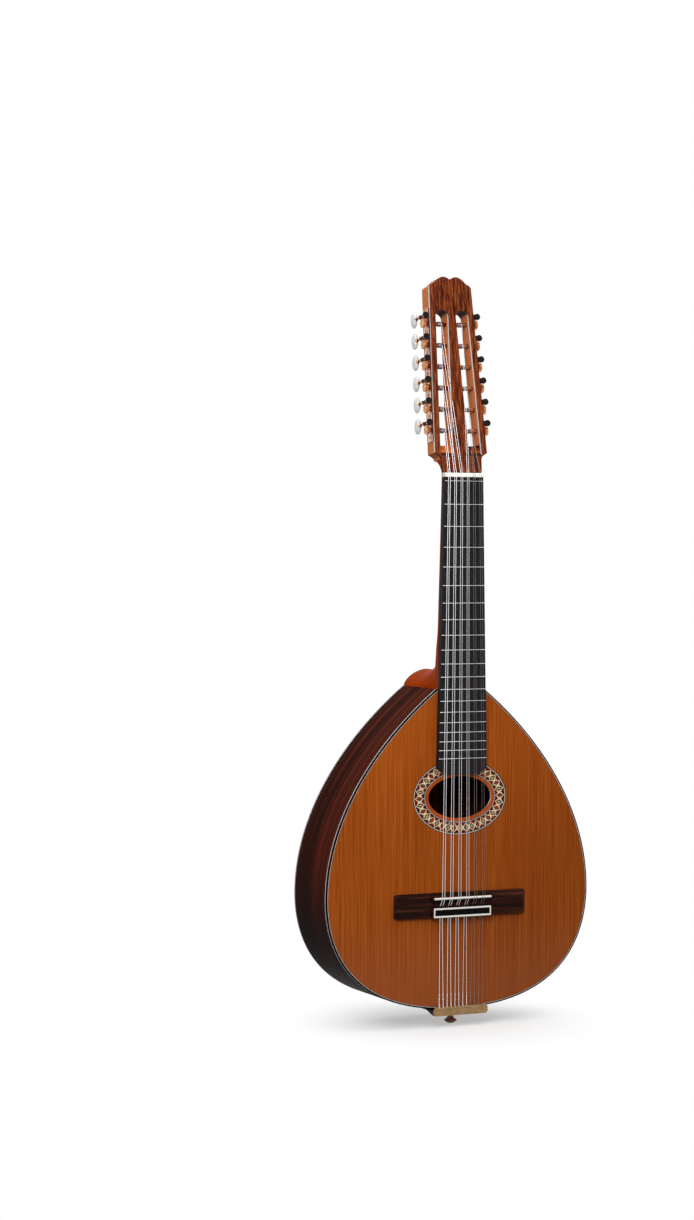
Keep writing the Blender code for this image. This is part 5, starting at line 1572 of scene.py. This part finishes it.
# %% The tailpiece and end pin
TAILPIECE_HALF = 36.4 * MM
TAILPIECE_TOP = TAIL_Z + 4.3 * MM
TAILPIECE_BOTTOM = TAIL_Z - 6.8 * MM
TAILPIECE_FACE = -4.6 * MM
SHEET = 1.2 * MM
SHEET_MIDDLE = TAILPIECE_FACE - SHEET / 2
SHEET_BEND, SHEET_END = 14.0 * MM, 36.0 * MM
SEAT = TAIL_Z - 0.3 * MM
CORNER_CUT = 2.6 * MM
PIN_Y = 21.7 * MM
PIN_TIP = TAIL_Z - 20.3 * MM
PIN_COLLAR = SEAT - SHEET
PIN_PROFILE = (
    (0.0, 4.3), (2.4, 3.8), (5.5, 3.3), (8.5, 3.2), (10.8, 3.5), (12.6, 4.4), (14.0, 6.0), (15.1, 7.3),
    (16.1, 7.4), (17.0, 6.6), (17.6, 5.6),
)


def make_tailpiece():
    """The folded sheet with chamfered corners and cheeks."""
    front = TAILPIECE_FACE - SHEET
    profile = [
        (front, TAILPIECE_TOP), (front, TAILPIECE_BOTTOM), (SHEET_BEND, SEAT - SHEET),
        (SHEET_END, SEAT - SHEET), (SHEET_END, SEAT), (SHEET_BEND, SEAT),
        (TAILPIECE_FACE, TAILPIECE_BOTTOM + SHEET), (TAILPIECE_FACE, TAILPIECE_TOP),
    ]
    half = TAILPIECE_HALF
    sheet = plate([profile], -half, half, from_side)
    obj = piece("tailpiece", sheet, brushed_brass, "brass", covers=["tailpiece"])
    cheek = [
        (SHEET_MIDDLE, SEAT), (SHEET_MIDDLE, TAILPIECE_BOTTOM + SHEET / 2), (SHEET_BEND, SEAT - SHEET / 2),
        (SHEET_BEND, SEAT),
    ]
    cheeks, corners = bmesh.new(), bmesh.new()
    for low in (-half + 0.3 * MM, half - 0.3 * MM - SHEET):
        plate([cheek], low, low + SHEET, from_side, cheeks)
    carved(obj, [cheeks], "UNION")
    for hand in (-1, 1):
        for z, cut in ((TAILPIECE_TOP, CORNER_CUT), (TAILPIECE_BOTTOM, -CORNER_CUT)):
            out = hand * (half + CORNER_CUT)
            triangle = [(hand * (half - 2 * CORNER_CUT), z + cut), (out, z + cut), (out, z - 2 * cut)]
            plate([triangle], 2 * front, TAILPIECE_FACE + SHEET / 2, from_front, corners)
    carved(obj, [corners])
    soften(obj, bevel=0.35, segments=3, bevel_from=25)


def along_pin(a, b, z):
    """A point of the end pin about its own axis."""
    return (a, PIN_Y + b, z)


make_tailpiece()
pin_line = smooth_line([(PIN_COLLAR - down * MM, radius * MM) for down, radius in PIN_PROFILE], 4)
stations = [(TAIL_Z + 14.0 * MM, 2.7 * MM), (PIN_COLLAR + 0.1 * MM, 3.0 * MM)]
stations += [station for station in pin_line if station[0] > PIN_TIP + 0.2 * MM]
stations.append((PIN_TIP, 4.1 * MM))
end_pin = turned(stations, 40, along_pin)
piece("end_pin", end_pin, pin_rosewood, "rosewood", covers=["end_pin"], smooth=50)
rim = bmesh.new()
rim_circle = arc(0, 0, 7.35 * MM, 7.35 * MM, 0, 360, 48)
rim_line = [Vector(along_pin(a, b, PIN_COLLAR - 15.8 * MM)) for a, b in rim_circle]
tube(rim, rim_line, 0.35 * MM, 8)
piece("end_pin_rim", rim, black_line, "rosewood", smooth=60)
print("end pin: {:.1f} mm long".format((PIN_COLLAR - PIN_TIP) / MM))

# %% [markdown]
# The strings run straight between the places that carry them: loop, hole in the tie block, saddle, nut and
# post. The thick ones are wound with fine silver wire, which shows as a ribbed surface, and the thin ones
# are plain. Near the tailpiece each wire doubles back and is twisted round itself to make the loop.

# %% The strings
TAIL_PITCH = 5.3 * MM
TWIST_LENGTH = 15.0 * MM
TWIST_STEPS = 96
LOOP_STEPS = 24


def make_wound_finish():
    """Silver winding: fine ribs along the string, with painted shade between them."""
    finish = Finish("silver_winding")
    bands = {"wave_type": "BANDS", "bands_direction": "Z"}
    ribs = finish.node("ShaderNodeTexWave", bands, {"Vector": finish.place(), "Scale": 0.9})
    # painted shade: the colour is darker in the gaps between the ribs
    colour = finish.blend(ribs, (196, 194, 198), (255, 254, 255))
    return finish.done(colour, 0.26 + ribs * 0.08, ribs, 0.01, Metallic=1.0)


def string_route(index, radius):
    """The points of one string from the tailpiece to its post."""
    tail_x = (index - (STRINGS - 1) / 2) * TAIL_PITCH
    saddle_x, nut_x = string_x(index, BRIDGE_SPACING), string_x(index, NUT_SPACING)
    hand, number = (-1, index) if index < MACHINES_PER_SIDE else (1, STRINGS - 1 - index)
    u = winding_turns(radius) * WINDING_PITCH * radius / 2 - hand * winding_from_side(hand, number)
    on_post = Vector((u, POST_DEPTH - POST_RADIUS - radius, post_height(number)))
    nut_y, saddle_y = GROOVE_FLOOR - radius, SADDLE_FRONT - 0.05 * MM - radius
    return [
        Vector((tail_x, SHEET_MIDDLE, TAILPIECE_TOP + 0.3 * MM)),
        Vector((saddle_x, HOLE_DEPTH, BRIDGE_BOTTOM_Z - 2 * HOLE_RADIUS)),
        Vector((saddle_x, HOLE_DEPTH, TIE_BLOCK_TOP_Z)),
        Vector((saddle_x, saddle_y + 0.35 * MM, SADDLE_Z - SADDLE_THICKNESS * 0.6)),
        Vector((saddle_x, saddle_y, SADDLE_Z)),
        Vector((nut_x, nut_y, NUT_BOTTOM_Z)),
        Vector((nut_x, nut_y + 0.1 * MM, NUT_BOTTOM_Z + 2.5 * MM)),
        machine_frames[hand] @ on_post,
    ]


def twist_and_loop(start, way, reach):
    """The wire's tail twisted round the string, and the loop that hooks on to the sheet."""
    across = way.orthogonal().normalized()
    other = way.cross(across)
    turns = circle(12, reach) * (TWIST_STEPS // 12 + 1)
    twist = [
        start + way * (TWIST_LENGTH * step / TWIST_STEPS) + across * turns[step][0] + other * turns[step][1]
        for step in range(TWIST_STEPS + 1)
    ]
    loop = [
        start + Vector((0, 1.1 * sin(angle), 1.3 * cos(angle) - 1.0)) * MM
        for angle in (pi * 1.15 * (2 * step / LOOP_STEPS - 1) for step in range(LOOP_STEPS + 1))
    ]
    return twist, loop


silver_winding = make_wound_finish()
for index, radius in enumerate(STRING_RADII):
    name = "string_{}{}".format(COURSES - index // 2, "ab"[index % 2])
    route = string_route(index, radius)
    twist, loop = twist_and_loop(route[0], (route[1] - route[0]).normalized(), radius + 0.22 * MM)
    wire = bmesh.new()
    tube(wire, route, radius)
    tube(wire, twist, min(radius, 0.26 * MM), 6)
    tube(wire, loop, min(radius, 0.42 * MM), 6)
    wound = index < WOUND_STRINGS
    finish, slot = (silver_winding, "wound_string") if wound else (plain_wire, "plain_string")
    piece(name, wire, finish, slot, covers=[name], smooth=60)
print("strings:", STRINGS)
